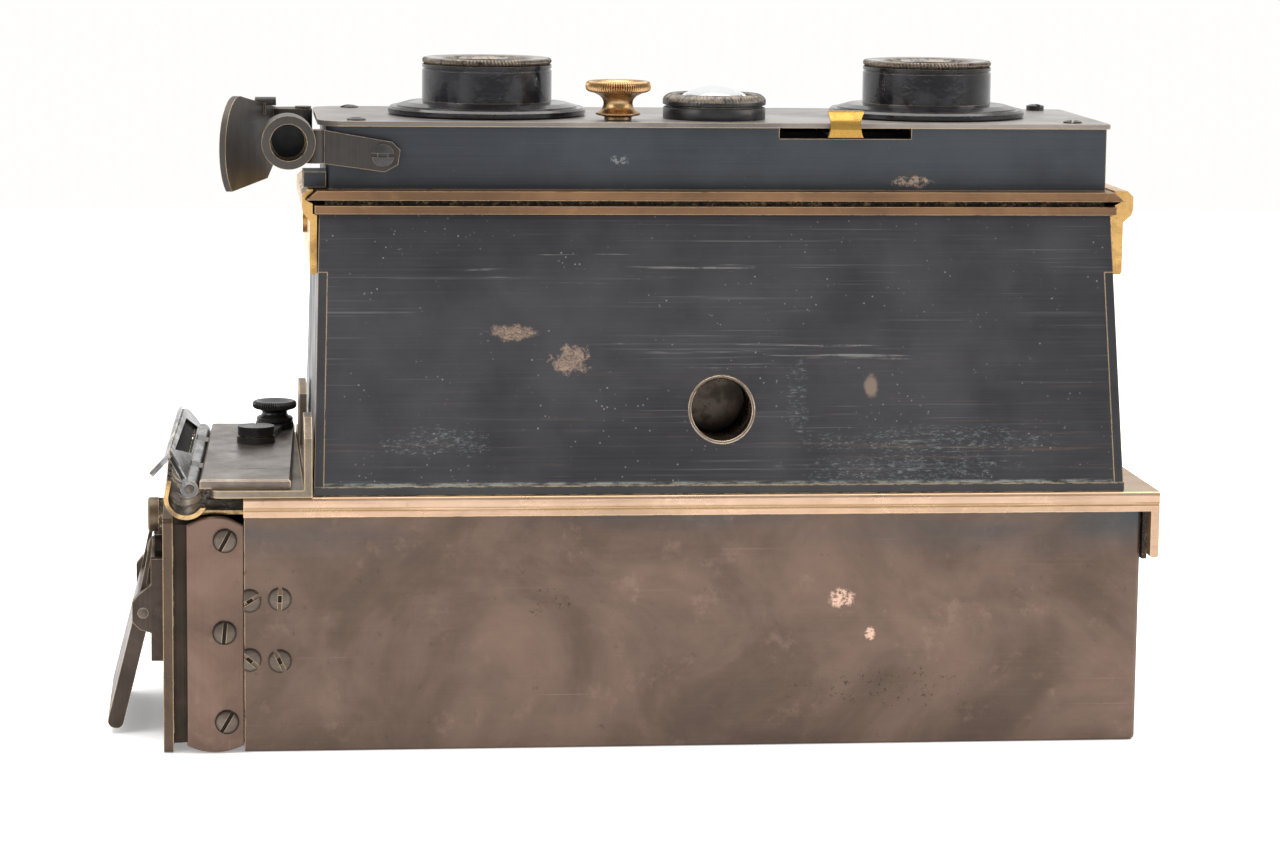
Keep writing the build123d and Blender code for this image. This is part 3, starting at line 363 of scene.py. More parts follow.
def patinated(name, dark, light, along="X", rough=(0.34, 0.5), wear=0.6, edge=0.3, marks=(),
              grain=0.25, relief_mm=0.03, matt=None, over=()):
    """Brass gone brown, with clouds, stains, fine scratches and brighter worn edges.

    marks lie under the worn edges and over lies on them; matt masks what neither shines nor
    looks like metal.
    """
    g = Graph(name)
    metal = 0.85
    cloud = g.span(g.noise(0.05, detail=6, rough=0.62, warp=0.6), 0.34, 0.68)
    color = g.mix(cloud, dark, light)
    blotch = g.times(g.span(g.noise(0.22, detail=5, rough=0.68), 0.56, 0.72), 0.4)
    color = g.mix(blotch, color, tuple(c * 1.45 for c in light))
    dirt = g.span(g.noise(0.55, detail=5, rough=0.75), 0.60, 0.72)
    color = g.mix(g.times(dirt, 0.4), color, tuple(c * 0.45 for c in dark))
    brushed = g.noise(tuple(0.03 if a == along else 3.2 for a in "XYZ"), detail=2)
    color = g.mix(g.span(brushed, 0.35, 0.8, 0, grain), color, tuple(c * 1.25 for c in light))
    color = g.mix(g.times(streaks(g, along), 0.35), color, tuple(min(1, c * 2.0) for c in light))
    for colour, strength, mask in marks:
        color = g.mix(g.times(mask(g), strength), color, colour)
    bare = g.worn_edges(edge, wear, g.noise(0.4, detail=4, rough=0.7), 0.62, 0.74)
    color = g.mix(bare, color, WORN_BRASS)
    for colour, strength, mask in over:
        color = g.mix(g.times(mask(g), strength), color, colour)
    gloss = g.span(g.noise(0.15, detail=5, rough=0.65), 0.3, 0.7, rough[0], rough[1])
    if matt:
        flat = matt(g)
        gloss = g.most(gloss, flat)
        metal = g.times(g.flip(flat), metal)
    g.set(color=color, roughness=gloss, metallic=metal)
    relief = g.math("ADD", g.times(brushed, 0.3), g.times(g.noise(0.5, detail=5, rough=0.65), 0.7))
    g.bump(relief, relief_mm)
    return g.mat


def raw_brass(name, base, stain, rough=(0.22, 0.4), amount=0.55, along="X", painted_shade_y=None):
    """Bare handled brass with brown stain in patches, and painted shade that darkens it along Y from the
    first given depth to the second.
    """
    g = Graph(name)
    cloud = g.span(g.noise(0.35, detail=5, rough=0.62), 0.38, 0.68)
    color = g.mix(g.times(cloud, amount), base, stain)
    brushed = g.noise(tuple(0.08 if a == along else 5.0 for a in "XYZ"), detail=2)
    color = g.mix(g.span(brushed, 0.4, 0.8, 0, 0.3), color, tuple(min(1, c * 1.25) for c in base))
    pit = g.span(g.noise(2.2, detail=3, rough=0.7), 0.62, 0.72)
    color = g.mix(g.times(pit, 0.55), color, tuple(c * 0.6 for c in stain))
    # Painted shade, deepening along Y, as inside a bore.
    if painted_shade_y:
        color = g.mix(g.span(g.axis("Y"), painted_shade_y[0], painted_shade_y[1], 0.0, 0.9), color, (0.02, 0.017, 0.015))
    g.set(color=color, roughness=g.span(cloud, 0, 1, rough[0], rough[1]), metallic=1.0)
    g.bump(g.math("ADD", g.times(brushed, 0.4), g.times(pit, -0.6)), 0.02)
    return g.mat


def lacquer(name, base, rough, wear, edge, rim=None):
    """Gloss black lacquer, slightly pitted, worn through at its edges and at the heights in rim."""
    g = Graph(name)
    cloud = g.noise(0.25, detail=4)
    color = g.mix(g.span(cloud, 0.4, 0.7), base, tuple(c * 2.2 for c in base))
    dust = g.span(g.noise(1.1, detail=4, rough=0.75), 0.66, 0.76)
    color = g.mix(g.times(dust, 0.5), color, (0.16, 0.13, 0.11))
    bare = g.worn_edges(edge, wear, g.noise(0.8, detail=4), 0.66, 0.76)
    if rim:
        height = g.axis("Z")
        worn_rim = g.times(g.span(height, rim[0], rim[0] + 0.1), g.span(height, rim[1] + 0.1, rim[1]))
        teeth = g.times(worn_rim, g.span(g.noise(1.1, detail=4, rough=0.7), 0.36, 0.56))
        bare = g.most(bare, g.times(teeth, 0.42))
    color = g.mix(bare, color, (0.42, 0.33, 0.24))
    g.set(color=color, roughness=g.span(cloud, 0.3, 0.7, rough[0], rough[1]), metallic=g.times(bare, 0.8))
    g.bump(g.math("ADD", g.times(g.noise(0.9, detail=3), 0.7), g.times(dust, 0.3)), 0.05)
    return g.mat


def felt(name):
    """Compressed black felt with brown dust."""
    g = Graph(name)
    fuzz = g.noise(3.5, detail=4, rough=0.8)
    color = g.mix(g.span(fuzz, 0.4, 0.65), (0.030, 0.025, 0.021), (0.14, 0.105, 0.08))
    color = g.mix(g.span(g.noise(0.9, detail=5, rough=0.8), 0.53, 0.62), color, (0.46, 0.33, 0.19))
    g.set(color=color, roughness=0.95)
    g.bump(fuzz, 0.25)
    return g.mat


def glass(name):
    """Old optical glass with faint dust."""
    g = Graph(name)
    haze = g.span(g.noise(0.5, detail=5, rough=0.7), 0.45, 0.75, 0.0, 0.07)
    g.set(color=(0.93, 0.96, 0.97), roughness=haze)
    g.bsdf.inputs["Transmission Weight"].default_value = 1.0
    g.bsdf.inputs["IOR"].default_value = 1.52
    return g.mat


def simple(name, a, b, scale, rough, metal=0.0, depth=0.02):
    """Two-tone finish for small or inner pieces."""
    g = Graph(name)
    grain = g.noise(scale, detail=5, rough=0.65)
    g.set(color=g.mix(g.span(grain, 0.35, 0.65), a, b), metallic=metal)
    g.set(roughness=g.span(grain, 0.3, 0.7, rough * 0.8, rough * 1.2))
    g.bump(grain, depth)
    return g.mat


# ---------------------------------------------------------------- marks on particular pieces
def near_face_marks():
    """Scuffs, dried streaks and corrosion on the near face, as (colour, strength, mask)."""
    def scuff_one(g):
        grit = g.span(g.noise((1.5, 1.5, 3.0), detail=8, rough=0.78, warp=1.4), 0.36, 0.60)
        patch = g.most(g.blob((-29.3, -21.8, 57.2), (3.9, 9, 1.2), 0.45, 0.7),
                       g.blob((-21.6, -22.6, 53.6), (2.6, 9, 2.2), 0.7, 0.9))
        solid = g.times(g.blob((20.3, -23.5, 50.0), (1.2, 9, 1.9), 0.25, 0.6), 0.55)
        return g.most(g.times(patch, grit), solid)

    def long_streaks(g):
        lines = g.span(g.noise((0.022, 0.4, 2.6), detail=5, rough=0.65), 0.58, 0.70)
        return g.times(lines, g.span(g.noise(0.05, detail=3), 0.40, 0.60))

    def brown_streaks(g):
        lines = g.span(g.noise((0.030, 0.4, 1.1), detail=5, rough=0.7), 0.56, 0.70)
        return g.times(lines, g.span(g.axis("Z"), 58.0, 40.0))

    def fine_dots(g):
        dots = g.span(g.cells(1.1), 0.17, 0.09)
        return g.times(dots, g.span(g.noise(0.16, detail=4, rough=0.7), 0.50, 0.62))

    def chalky(g):
        grit = g.span(g.noise((1.1, 1.2, 3.4), detail=6, rough=0.8), 0.50, 0.66)
        patch = g.most(g.blob((-39.5, -25, 42.6), (8.0, 9, 2.4), 0.5, 0.4),
                       g.blob((29.0, -26, 42.6), (19.0, 9, 2.2), 0.5, 0.25),
                       g.blob((10.0, -24, 48.5), (1.6, 9, 7.0), 0.6, 0.5),
                       g.blob((26.0, -26, 38.6), (18.0, 9, 2.4), 0.45, 0.35))
        return g.times(patch, grit)

    def dried_lines(g):
        lines = g.span(g.noise((0.045, 0.5, 1.7), detail=4, rough=0.6), 0.60, 0.68)
        patch = g.most(g.blob((2.0, -22.4, 54.3), (27.0, 9, 2.3), 0.5, 0.2),
                       g.blob((-18.0, -19.5, 66.0), (22.0, 9, 3.0), 0.5, 0.2),
                       g.blob((28.0, -25.2, 43.2), (22.0, 9, 3.0), 0.5, 0.2))
        return g.times(lines, patch)

    def base_line(g):
        near_base = g.span(g.axis("Z"), 37.35, 36.95)
        return g.times(near_base, g.span(g.noise((0.25, 0.3, 1.2), detail=6, rough=0.8), 0.42, 0.60))

    return (
        ((0.15, 0.145, 0.14), 0.55, long_streaks),
        ((0.13, 0.085, 0.055), 0.45, brown_streaks),
        ((0.36, 0.33, 0.29), 0.5, fine_dots),
        ((0.36, 0.25, 0.18), 0.85, scuff_one),
        (CHALK, 0.34, chalky),
        ((0.26, 0.25, 0.23), 0.6, dried_lines),
        ((0.38, 0.39, 0.34), 0.6, base_line),
    )


def magazine_marks():
    """Blue-black upper edge, pink rubbed spots and grime on the casing."""
    def blue_top(g):
        high = g.span(g.axis("Z"), 25.0, 33.0)
        return g.times(high, g.span(g.noise((0.02, 0.02, 0.06), detail=3), 0.35, 0.6))

    def pink(g):
        grit = g.span(g.noise(1.8, detail=4, rough=0.7), 0.4, 0.55)
        patch = g.most(g.blob((16.3, -26.5, 20.7), (2.0, 9, 1.5), 0.4, 0.6),
                       g.blob((20.3, -26.5, 15.7), (0.8, 9, 1.1), 0.4, 0.8))
        return g.times(patch, grit)

    def dots(g):
        grit = g.span(g.noise(1.3, detail=4, rough=0.8), 0.56, 0.66)
        patch = g.most(g.blob((-25.0, -26.5, 20.5), (4.0, 9, 2.5), 0.6, 0.5),
                       g.blob((22.0, -26.5, 8.0), (16, 9, 3.0), 0.6, 0.3))
        return g.times(patch, grit)

    return (
        ((0.055, 0.070, 0.078), 0.9, blue_top),
        ((0.75, 0.50, 0.38), 0.8, pink),
        ((0.035, 0.025, 0.02), 0.8, dots),
    )


def frame_marks():
    """Brown joint between the two rolled lips, and a paler upper lip."""
    groove_low, groove_high = 33.55, 33.9

    def joint(g):
        low = g.span(g.axis("Z"), groove_low - 0.2, groove_low)
        high = g.span(g.axis("Z"), groove_high + 0.25, groove_high)
        return g.times(low, high, g.span(g.noise((0.03, 0.3, 1.5), detail=4), 0.36, 0.5))

    def upper(g):
        pale = g.span(g.axis("Z"), groove_high, groove_high + 0.3)
        return g.times(pale, g.span(g.noise((0.05, 0.2, 1.0), detail=4), 0.35, 0.6))

    def top_line(g):
        return g.span(g.axis("Z"), 35.2, 35.4)

    return (
        ((0.58, 0.41, 0.30), 0.6, upper),
        ((0.27, 0.16, 0.07), 0.85, joint),
        ((0.42, 0.27, 0.13), 0.7, top_line),
    )


def joint_named(name):
    """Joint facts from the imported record."""
    return next(joint for joint in frame["joints"] if joint["name"] == name)


def catch_along(g, part):
    """Distance from the catch's pin: off its leaning plate ("lift") or up it ("rise")."""
    hinge = joint_named("catch_lift")
    lean = math.radians(CATCH_LEAN)
    up = Vector((0, 0, 1))
    level = Vector(hinge["axis"]).normalized().cross(up)
    ways = {
        "lift": level * math.sin(lean) + up * math.cos(lean),
        "rise": up * math.sin(lean) - level * math.cos(lean),
    }
    return g.dot(g.shift(Vector(hinge["pos_m"]) / MM), ways[part])


def catch_recess(g):
    """Floor of the recess in the catch plate, which takes painted shade and a matt finish."""
    lift, rise = catch_along(g, "lift"), catch_along(g, "rise")
    deep = g.times(g.span(lift, 0.28, 0.1), g.span(lift, -0.34, -0.28))
    return g.times(deep, g.span(rise, 1.45, 1.6), g.span(rise, 5.0, 4.9))


def catch_wear_highlight_and_shade():
    """Bright rubbed patches, a painted highlight that whitens the tail's outer face, and painted shade on
    the floor of the recess.
    """
    def rubbed(g):
        return g.span(g.noise((0.35, 0.12, 0.3), detail=5, rough=0.65), 0.46, 0.62)

    tail_facing = Vector((-0.756, 0.024, 0.654))

    # Painted highlight: the tail's outer face, turned up and to the left, is coloured near white.
    def tail(g):
        outer = g.span(g.dot(g.normal(), tail_facing), 0.8, 0.93)
        return g.times(outer, g.span(catch_along(g, "lift"), -0.45, -0.7))

    return (
        ((0.36, 0.36, 0.37), 0.7, rubbed),
        # painted shade: the recess floor is coloured near black
        ((0.012, 0.011, 0.010), 0.95, catch_recess),
        ((0.93, 0.92, 0.90), 0.95, tail),
    )


def platform_marks():
    """Rubbed bright wedge across the plate and a dark scar near its front."""
    def rubbed(g):
        return g.span(g.noise((0.10, 0.045, 0.1), detail=5, rough=0.6), 0.45, 0.62)

    def scar(g):
        grit = g.span(g.noise(1.6, detail=4, rough=0.7), 0.42, 0.54)
        return g.times(g.blob((-65.5, -17.0, 37.8), (4.0, 0.9, 9), 0.5, 0.8), grit)

    return (((0.30, 0.27, 0.245), 0.7, rubbed), ((0.03, 0.025, 0.022), 0.85, scar))


def screw_slot_shade():
    """Painted shade in the slots: everything deeper than the heads' rims, on the strips and on the casing,
    is coloured near black.
    """
    strip_edge, strip_depth, casing_depth = (-66.0, -66.15), (27.3, 27.2), (26.82, 26.74)

    def slot(g):
        out = g.math("ABSOLUTE", g.axis("Y"))
        on_strip = g.span(g.axis("X"), *strip_edge)
        strip_slot = g.times(on_strip, g.span(out, *strip_depth))
        casing_slot = g.times(g.flip(on_strip), g.span(out, *casing_depth))
        return g.most(strip_slot, casing_slot)

    return (((0.008, 0.007, 0.006), 0.95, slot),)


def case_marks():
    """Stain and scuff on the front of the shutter case."""
    def stain(g):
        patch = g.blob((26.7, -16.1, 77.6), (3.2, 9, 0.9), 0.5, 0.8)
        return g.times(patch, g.span(g.noise(1.2, detail=4, rough=0.7), 0.42, 0.56))

    def scuff(g):
        return g.times(g.blob((-14.2, -16.1, 80.5), (1.6, 9, 0.8), 0.4, 1.0),
                       g.span(g.noise(2.0, detail=3), 0.45, 0.55))

    def rivet(g):
        return g.blob((26.7, -16.1, 78.5), (0.85, 9, 0.85), 0.05, 0.5)

    return (((0.05, 0.045, 0.04), 0.8, rivet), (TAN, 0.85, stain), ((0.20, 0.21, 0.22), 0.8, scuff))


# ---------------------------------------------------------------- pieces made in mesh code
def finish_mesh(name, verts, faces, material, body, replaced, smooth=38):
    """Shaded piece that rides on a CAD body and replaces nodes; sharp past smooth degrees."""
    mesh = bpy.data.meshes.new(name)
    mesh.from_pydata([tuple(v) for v in verts], [], faces)
    bm = bmesh.new()
    bm.from_mesh(mesh)
    bmesh.ops.remove_doubles(bm, verts=bm.verts, dist=1e-7)
    bmesh.ops.recalc_face_normals(bm, faces=bm.faces)
    bm.to_mesh(mesh)
    bm.free()
    mesh.shade_smooth()
    mesh.set_sharp_from_angle(angle=math.radians(smooth))
    mesh.materials.append(material)
    piece = bpy.data.objects.new(name, mesh)
    bpy.context.collection.objects.link(piece)
    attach(piece, body)
    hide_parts(*replaced)
    return piece


def lathe(name, outline, centre, steps, material, body, replaced, shape, closed=False):
    """Turned piece from (radius, height) points in millimetres; shape moves points for milling."""
    verts, faces = [], []
    count = len(outline)
    for step in range(steps):
        angle = 2 * math.pi * step / steps
        for k, (r, z) in enumerate(outline):
            if r > 0:
                r, z = shape(angle, r, z, k)
            x, y = centre[0] + r * math.cos(angle), centre[1] + r * math.sin(angle)
            verts.append((x * MM, y * MM, z * MM))
    last = count if closed else count - 1
    for step in range(steps):
        after = (step + 1) % steps
        for k in range(last):
            other = (k + 1) % count
            faces.append((step * count + k, step * count + other, after * count + other, after * count + k))
    return finish_mesh(name, verts, faces, material, body, replaced)


def arc(cr, cz, r, start, end, count):
    """Points on an arc in the (radius, height) plane, angles in degrees."""
    points = []
    for k in range(count):
        a = math.radians(start + (end - start) * k / (count - 1))
        points.append((cr + r * math.cos(a), cz + r * math.sin(a)))
    return points


def milling(teeth, depth, rows, slant=0.0):
    """Rounded teeth cut into the given outline rows."""
    def shape(angle, r, z, k):
        if k not in rows:
            return r, z
        weight = rows[k]
        phase = teeth * angle + slant * z
        dip = (0.5 - 0.5 * math.cos(phase)) ** 1.6
        return r - depth * weight * dip, z
    return shape


def lens_barrel(side):
    """Lacquered lens tube with a rope-milled rim and a stepped, grooved mouth."""
    low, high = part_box(f"lens_barrel_{side}")
    x = (low[0] + high[0]) / 2 / MM
    top, r, rim_r = high[2] / MM, 9.15, 0.42
    rim = arc(r - rim_r, top - rim_r, rim_r, -75, 100, 7)
    outline = [(8.0, 85.0), (8.0, RING_TOP), (r, RING_TOP), (r, RING_TOP + 0.1)]
    outline += [(r, top - 1.75), (r - 0.1, top - 1.65), (r - 0.1, top - 1.5), (r, top - 1.4)]
    outline += [(r, top - 0.95)]
    first = len(outline)
    outline += rim
    rows = {first + k: w for k, w in enumerate((0.6, 1.0, 1.0, 1.0, 1.0, 0.8, 0.2))}
    outline += [(r - 1.1, top - 0.03), (6.7, top - 0.12), (6.35, top - 0.3), (6.1, top - 0.55)]
    outline += [(5.9, top - 0.6), (5.9, top - 1.0), (6.35, top - 1.05)]
    grooves, groove_pitch = 6, 0.55
    for k in range(grooves):
        z = top - 1.3 - groove_pitch * k
        outline += [(6.5, z), (6.25, z - 0.28)]
    outline += [(6.9, top - 4.7), (6.9, 86.4), (6.2, 86.0), (6.2, 85.0)]
    return lathe(f"barrel_{side}", outline, (x, 0), 448, MATERIALS["barrel"], "camera_body",
                 (f"lens_barrel_{side}",), milling(112, 0.3, rows, 2.2), closed=True)


def tension_knob():
    """Waisted brass knob with a milled, dished head."""
    low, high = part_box("tension_knob")
    x, y = ((low[i] + high[i]) / 2 / MM for i in (0, 1))
    z = PLATE_TOP
    outline = [(0, z + 0.06), (1.85, z + 0.06), (1.9, z + 0.12), (1.9, z + 0.45), (2.1, z + 0.55),
               (2.95, z + 0.72), (3.1, z + 0.85), (3.1, z + 1.0), (2.95, z + 1.15), (2.5, z + 1.4),
               (2.2, z + 1.75), (2.05, z + 2.2), (2.05, z + 2.6), (2.2, z + 3.0), (2.6, z + 3.4),
               (3.3, z + 3.75), (3.9, z + 3.92)]
    start = len(outline)
    outline += [(4.15, z + 4.0), (4.42, z + 4.2), (4.54, z + 4.5), (4.55, z + 4.78), (4.5, z + 5.05),
                (4.3, z + 5.32), (4.05, z + 5.45)]
    rows = {start + k: w for k, w in enumerate((0.5, 0.9, 1, 1, 1, 0.9, 0.4))}
    outline += [(3.7, z + 5.42), (3.4, z + 5.2), (3.1, z + 5.0), (2.0, z + 4.92), (1.1, z + 4.88),
                (0, z + 4.86)]
    return lathe("tension_knob_turned", outline, (x, y), 320, MATERIALS["knob"], "tension",
                 ("tension_knob",), milling(80, 0.24, rows))


def lock_knob():
    """Small dark knob with a milled, dished head."""
    low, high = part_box("lock_knob")
    x, y = ((low[i] + high[i]) / 2 / MM for i in (0, 1))
    stem = 0.9
    z = low[2] / MM + stem
    outline = [(0, z - stem), (1.0, z - stem), (1.0, z), (2.55, z), (2.7, z + 0.12), (2.7, z + 0.6),
               (2.5, z + 0.8), (2.0, z + 1.0), (1.85, z + 1.25), (1.85, z + 1.5), (2.2, z + 1.8),
               (2.8, z + 1.95)]
    start = len(outline)
    outline += [(3.05, z + 2.05), (3.22, z + 2.25), (3.25, z + 2.5), (3.25, z + 2.75), (3.12, z + 3.0),
                (2.9, z + 3.13)]
    rows = {start + k: w for k, w in enumerate((0.5, 1, 1, 1, 0.9, 0.3))}
    outline += [(2.5, z + 3.1), (1.9, z + 2.8), (1.0, z + 2.65), (0, z + 2.6)]
    return lathe("lock_knob_turned", outline, (x, y), 240, MATERIALS["small_black"], "lock_knob_body",
                 ("lock_knob",), milling(60, 0.2, rows))


def finder_ring():
    """Two-tier finder cell; its upper tier has a rope-milled shoulder."""
    low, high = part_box("finder_ring")
    x, y = ((low[i] + high[i]) / 2 / MM for i in (0, 1))
    z, r, foot = PLATE_TOP, 7.2, 84.8
    outline = [(6.0, foot), (6.0, z), (r - 0.05, z), (r, z + 0.08), (r, z + 1.45), (r - 0.1, z + 1.6),
               (r - 0.45, z + 1.68), (r - 0.45, z + 1.85), (r - 0.05, z + 1.95), (r + 0.05, z + 2.05)]
    start = len(outline)
    outline += [(r + 0.05, z + 2.45), (r + 0.03, z + 2.7), (r - 0.1, z + 2.95), (r - 0.35, z + 3.2),
                (r - 0.65, z + 3.4), (r - 0.95, z + 3.5)]
    rows = {start + k: w for k, w in enumerate((0.0, 0.7, 1, 1, 1, 0.5))}
    outline += [(5.9, z + 3.45), (5.55, z + 3.3), (5.4, z + 3.0), (5.4, foot)]
    return lathe("finder_cell", outline, (x, y), 344, MATERIALS["ring"], "camera_body",
                 ("finder_ring",), milling(86, 0.26, rows, 2.2), closed=True)


def tripod_bush():
    """Bush with a cut thread; its rim follows the slanting face."""
    low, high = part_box("tripod_bush")
    x, z = ((low[i] + high[i]) / 2 / MM for i in (0, 2))
    lean = (FACE_BASE - FACE_TOP) / FACE_HEIGHT
    mouth = -(FACE_BASE - lean * (z - FACE_BASE_Z))
    inner = mouth + 9.0
    outer, lip, bore, depth = 7.0, 4.62, 4.15, 0.45
    turns, steps, pitch, start = 7, 96, 1.15, mouth + 1.3
    front = ((outer, -0.95), (lip, -0.95), (lip, 0.02), (4.5, 0.1), (4.3, 0.1), (4.16, -0.05))
    thread = ((0.0, bore), (0.12, bore), (0.45, bore + depth), (0.6, bore + depth), (0.93, bore))
    lead, per_turn = len(front) + 2, len(thread)
    thread_end = lead + turns * per_turn
    verts, faces = [], []
    for step in range(steps):
        a = 2 * math.pi * step / steps
        column = [(outer, mouth + 3.0)]
        column += [(r, mouth + lean * r * math.sin(a) - proud) for r, proud in front]
        column.append((bore, start))
        for turn in range(turns):
            y0 = start + (turn + step / steps) * pitch * 0.98
            column += [(r, min(y0 + part * pitch, inner - 0.02)) for part, r in thread]
        column += [(bore, inner), (2.0, inner), (0.0, inner)]
        verts += [((x + r * math.cos(a)) * MM, y * MM, (z + r * math.sin(a)) * MM) for r, y in column]
    count = len(column)
    seam = (steps - 1) * count
    for now in range(0, steps * count, count):
        after = (now + count) % (steps * count)
        for k in range(count - 1):
            if now == seam and lead <= k < thread_end:
                continue
            faces.append((now + k, now + k + 1, after + k + 1, after + k))
    for a in range(lead, thread_end - per_turn):
        b = a + 1
        beyond = b + per_turn if b + per_turn < thread_end else seam + b
        faces.append((seam + a, seam + b, beyond, a + per_turn))
    return finish_mesh("bush_threaded", verts, faces, MATERIALS["bush"], "camera_body", ("tripod_bush",), 50)


# ---------------------------------------------------------------- materials and their nodes
MATERIALS = {
    "near_face": blackened("body_near_black", BODY_DARK, BODY_LIGHT, marks=near_face_marks()),
    "wall": blackened("wall_black", BODY_DARK, BODY_LIGHT, along="Y", wear=0.8),
    "case": blackened("case_black", (0.020, 0.024, 0.030), (0.036, 0.042, 0.050), marks=case_marks()),
    "plate": blackened("plate_black", (0.125, 0.112, 0.105), (0.25, 0.228, 0.215), wear=0.9, edge=0.35,
                       rough=(0.28, 0.42)),
    "plinth": blackened("plinth_black", (0.018, 0.018, 0.020), (0.034, 0.032, 0.033), wear=0.5),
    "flange": patinated("flange_brass", (0.135, 0.078, 0.044), (0.235, 0.130, 0.068), wear=0.7, edge=0.22),
    "frame": patinated("frame_copper", (0.40, 0.265, 0.18), (0.58, 0.385, 0.265), wear=1.0,
                       rough=(0.25, 0.4), marks=frame_marks()),
    "magazine": patinated("magazine_brown", (0.098, 0.068, 0.053), (0.165, 0.112, 0.086),
                          marks=magazine_marks(), grain=0.08),
    "strip": patinated("strip_brown", (0.105, 0.067, 0.052), (0.185, 0.120, 0.092), along="Z", grain=0.1),
    "drawer": patinated("drawer_brown", (0.060, 0.041, 0.029), (0.105, 0.072, 0.051), along="Y", wear=0.9),
    "platform": patinated("platform_grey", (0.080, 0.062, 0.052), (0.175, 0.142, 0.120), along="Y",
                          wear=1.0, edge=0.45, marks=platform_marks(), rough=(0.26, 0.42)),
    "bracket": patinated("bracket_brown", (0.11, 0.09, 0.072), (0.24, 0.20, 0.155), along="Y",
                         wear=1.1, edge=0.5),
    "catch": patinated("catch_steel", (0.05, 0.05, 0.053), (0.14, 0.14, 0.145), along="Y", wear=0.5,
                       edge=0.25, marks=catch_wear_highlight_and_shade(), rough=(0.18, 0.34), relief_mm=0.01,
                       matt=catch_recess),
    "handle": patinated("handle_brown", (0.045, 0.034, 0.028), (0.095, 0.072, 0.060), along="Z",
                        wear=0.8, edge=0.2),
    "button": patinated("button_brown", (0.085, 0.06, 0.04), (0.20, 0.145, 0.095), along="Z", wear=0.9),
    # The tray's own brown is darkened further as painted shade for its recess behind the drawer mouth.
    "tray": patinated("tray_brown_recess_shade", (0.020, 0.014, 0.011), (0.048, 0.034, 0.026), along="Z", wear=0.3),
    "grip": raw_brass("grip_brass", (0.50, 0.33, 0.15), (0.10, 0.075, 0.055), along="Y", amount=0.9),
    "clip": raw_brass("clip_brass", (0.66, 0.41, 0.15), (0.26, 0.13, 0.045), along="Z"),
    "tab": raw_brass("tab_brass", (0.70, 0.42, 0.10), (0.30, 0.15, 0.035), amount=0.5, along="Z"),
    "knob": raw_brass("knob_brass", (0.42, 0.265, 0.13), (0.16, 0.085, 0.035), rough=(0.25, 0.4)),
    # The bush gets painted shade deepening into its bore.
    "bush": raw_brass("bush_brass", (0.34, 0.27, 0.21), (0.10, 0.08, 0.07), rough=(0.25, 0.42), along="Y",
                      painted_shade_y=(-21.5, -15.6)),
    "barrel": lacquer("barrel_lacquer", (0.010, 0.010, 0.012), (0.08, 0.22), wear=1.1, edge=0.16,
                      rim=LENS_RIM),
    "lens_ring": lacquer("lens_ring_lacquer", (0.008, 0.007, 0.008), (0.10, 0.24), wear=0.6, edge=0.2),
    "ring": lacquer("finder_lacquer", (0.014, 0.014, 0.015), (0.25, 0.45), wear=0.9, edge=0.16,
                    rim=FINDER_RIM),
    "small_black": lacquer("small_black", (0.02, 0.019, 0.019), (0.25, 0.42), wear=0.5, edge=0.16),
    "screw": lacquer("screw_black", (0.022, 0.021, 0.021), (0.25, 0.4), wear=0.5, edge=0.14),
    # Magazine screws, with painted shade in their slots.
    "mag_screw": patinated("screw_brown", (0.070, 0.056, 0.045), (0.145, 0.115, 0.092), wear=0.9, edge=0.16,
                           over=screw_slot_shade(), rough=(0.25, 0.4)),
    "lever": blackened("lever_black", (0.020, 0.018, 0.017), (0.052, 0.043, 0.036), along="Z",
                       wear=0.75, edge=0.2),
    "steel": simple("dark_steel", (0.07, 0.06, 0.052), (0.17, 0.145, 0.12), 1.2, 0.38, 1.0),
    "inner_black": simple("inner_black", (0.012, 0.012, 0.013), (0.03, 0.03, 0.03), 0.8, 0.6),
    "sheath": simple("sheath_black", (0.02, 0.02, 0.02), (0.05, 0.045, 0.04), 0.4, 0.5, 0.4),
    "felt": felt("black_felt"),
    "glass": glass("lens_glass"),
    "plate_glass": simple("plate_emulsion", (0.20, 0.19, 0.17), (0.32, 0.30, 0.27), 0.1, 0.3),
    "mirror": simple("silvered_mirror", (0.80, 0.82, 0.83), (0.86, 0.87, 0.88), 0.3, 0.06, 1.0, 0.002),
}
FINISH = {
    "near_face": ("body_faces",),
    "wall": ("body_walls",),
    "case": ("shutter_case",),
    "plate": ("front_plate",),
    "plinth": ("body_plinth",),
    "flange": ("body_flange", "block_base"),
    "frame": ("rear_frame",),
    "magazine": ("mag_casing", "mag_rim"),
    "strip": ("cover_strips",),
    "drawer": ("drawer_front",),
    "handle": ("handle_bracket", "pull_handle", "domed_rivet"),
    "tray": ("drawer_tray", "strip_backings"),
    "platform": ("platform",),
    "bracket": ("side_bracket", "follower"),
    "catch": ("slide_catch",),
    "grip": ("dark_slide",),
    "button": ("counter_button",),
    "clip": ("clip_left", "clip_right"),
    "tab": ("stop_tab",),
    "lens_ring": ("lens_flanges",),
    "screw": ("front_screws",),
    "mag_screw": ("magazine_screws",),
    "lever": ("release_lever", "release_bracket"),
    "small_black": ("lock_lever",),
    "steel": ("release_pivot", "catch_pin", "handle_pin", "tension_spindle", "pressure_springs"),
    "inner_black": ("release_plunger", "blade_rails", "septum", "stop_plate", "shutter_blade",
                    "mirror_cradle", "rear_cells"),
    "sheath": ("plate_sheaths",),
    "felt": ("light_seals", "counter_washer"),
    "glass": ("front_glasses", "rear_glasses", "finder_glass", "finder_window"),
    "plate_glass": ("glass_plates",),
    "mirror": ("finder_mirror",),
}


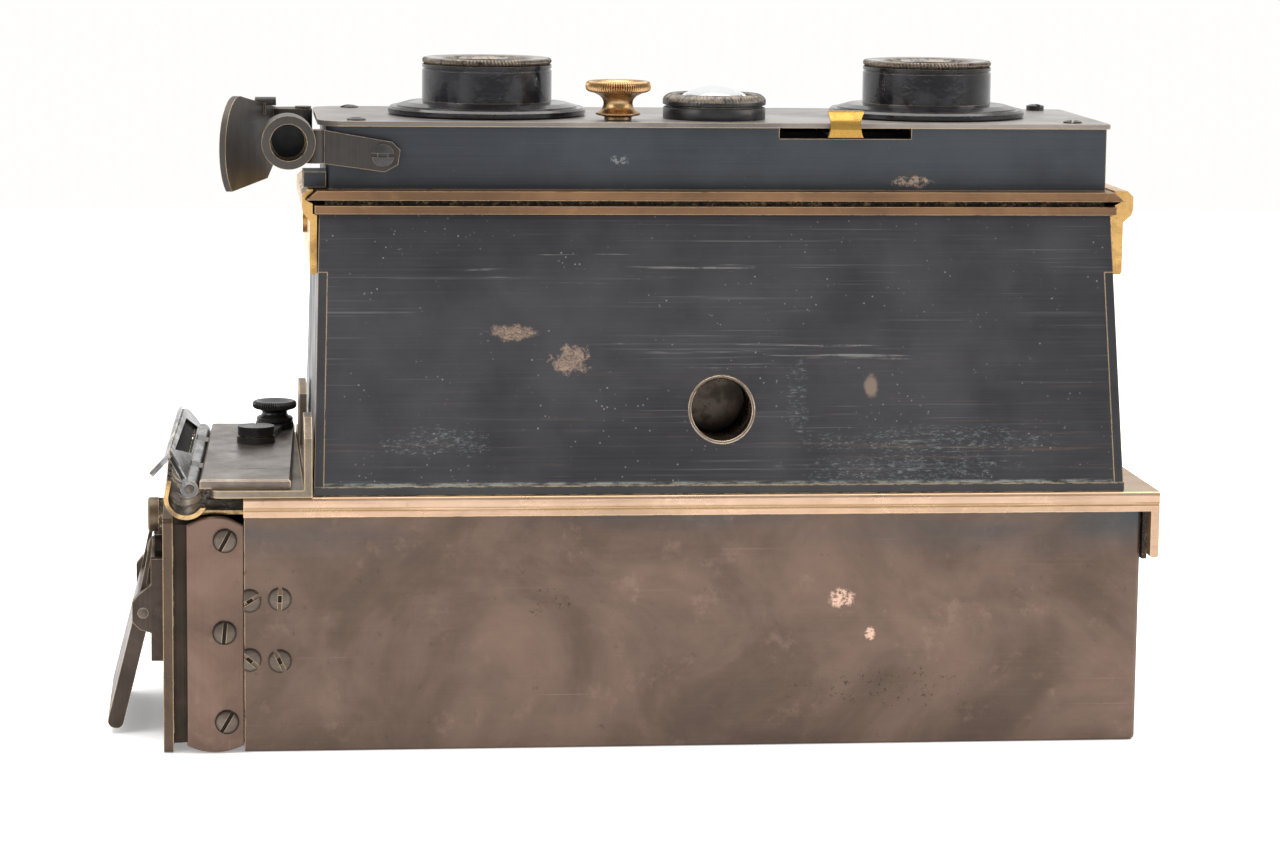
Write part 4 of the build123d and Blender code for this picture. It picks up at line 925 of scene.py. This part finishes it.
def dress_nodes():
    """Give every CAD node its material."""
    for key, names in FINISH.items():
        for name in names:
            piece = nodes[name]
            if not piece.material_slots:
                piece.data.materials.append(MATERIALS[key])
            for held in piece.material_slots:
                held.material = MATERIALS[key]


make_camera()
make_floor()
make_light()
dress_nodes()
for barrel_side in ("left", "right"):
    lens_barrel(barrel_side)
tension_knob()
lock_knob()
finder_ring()
tripod_bush()
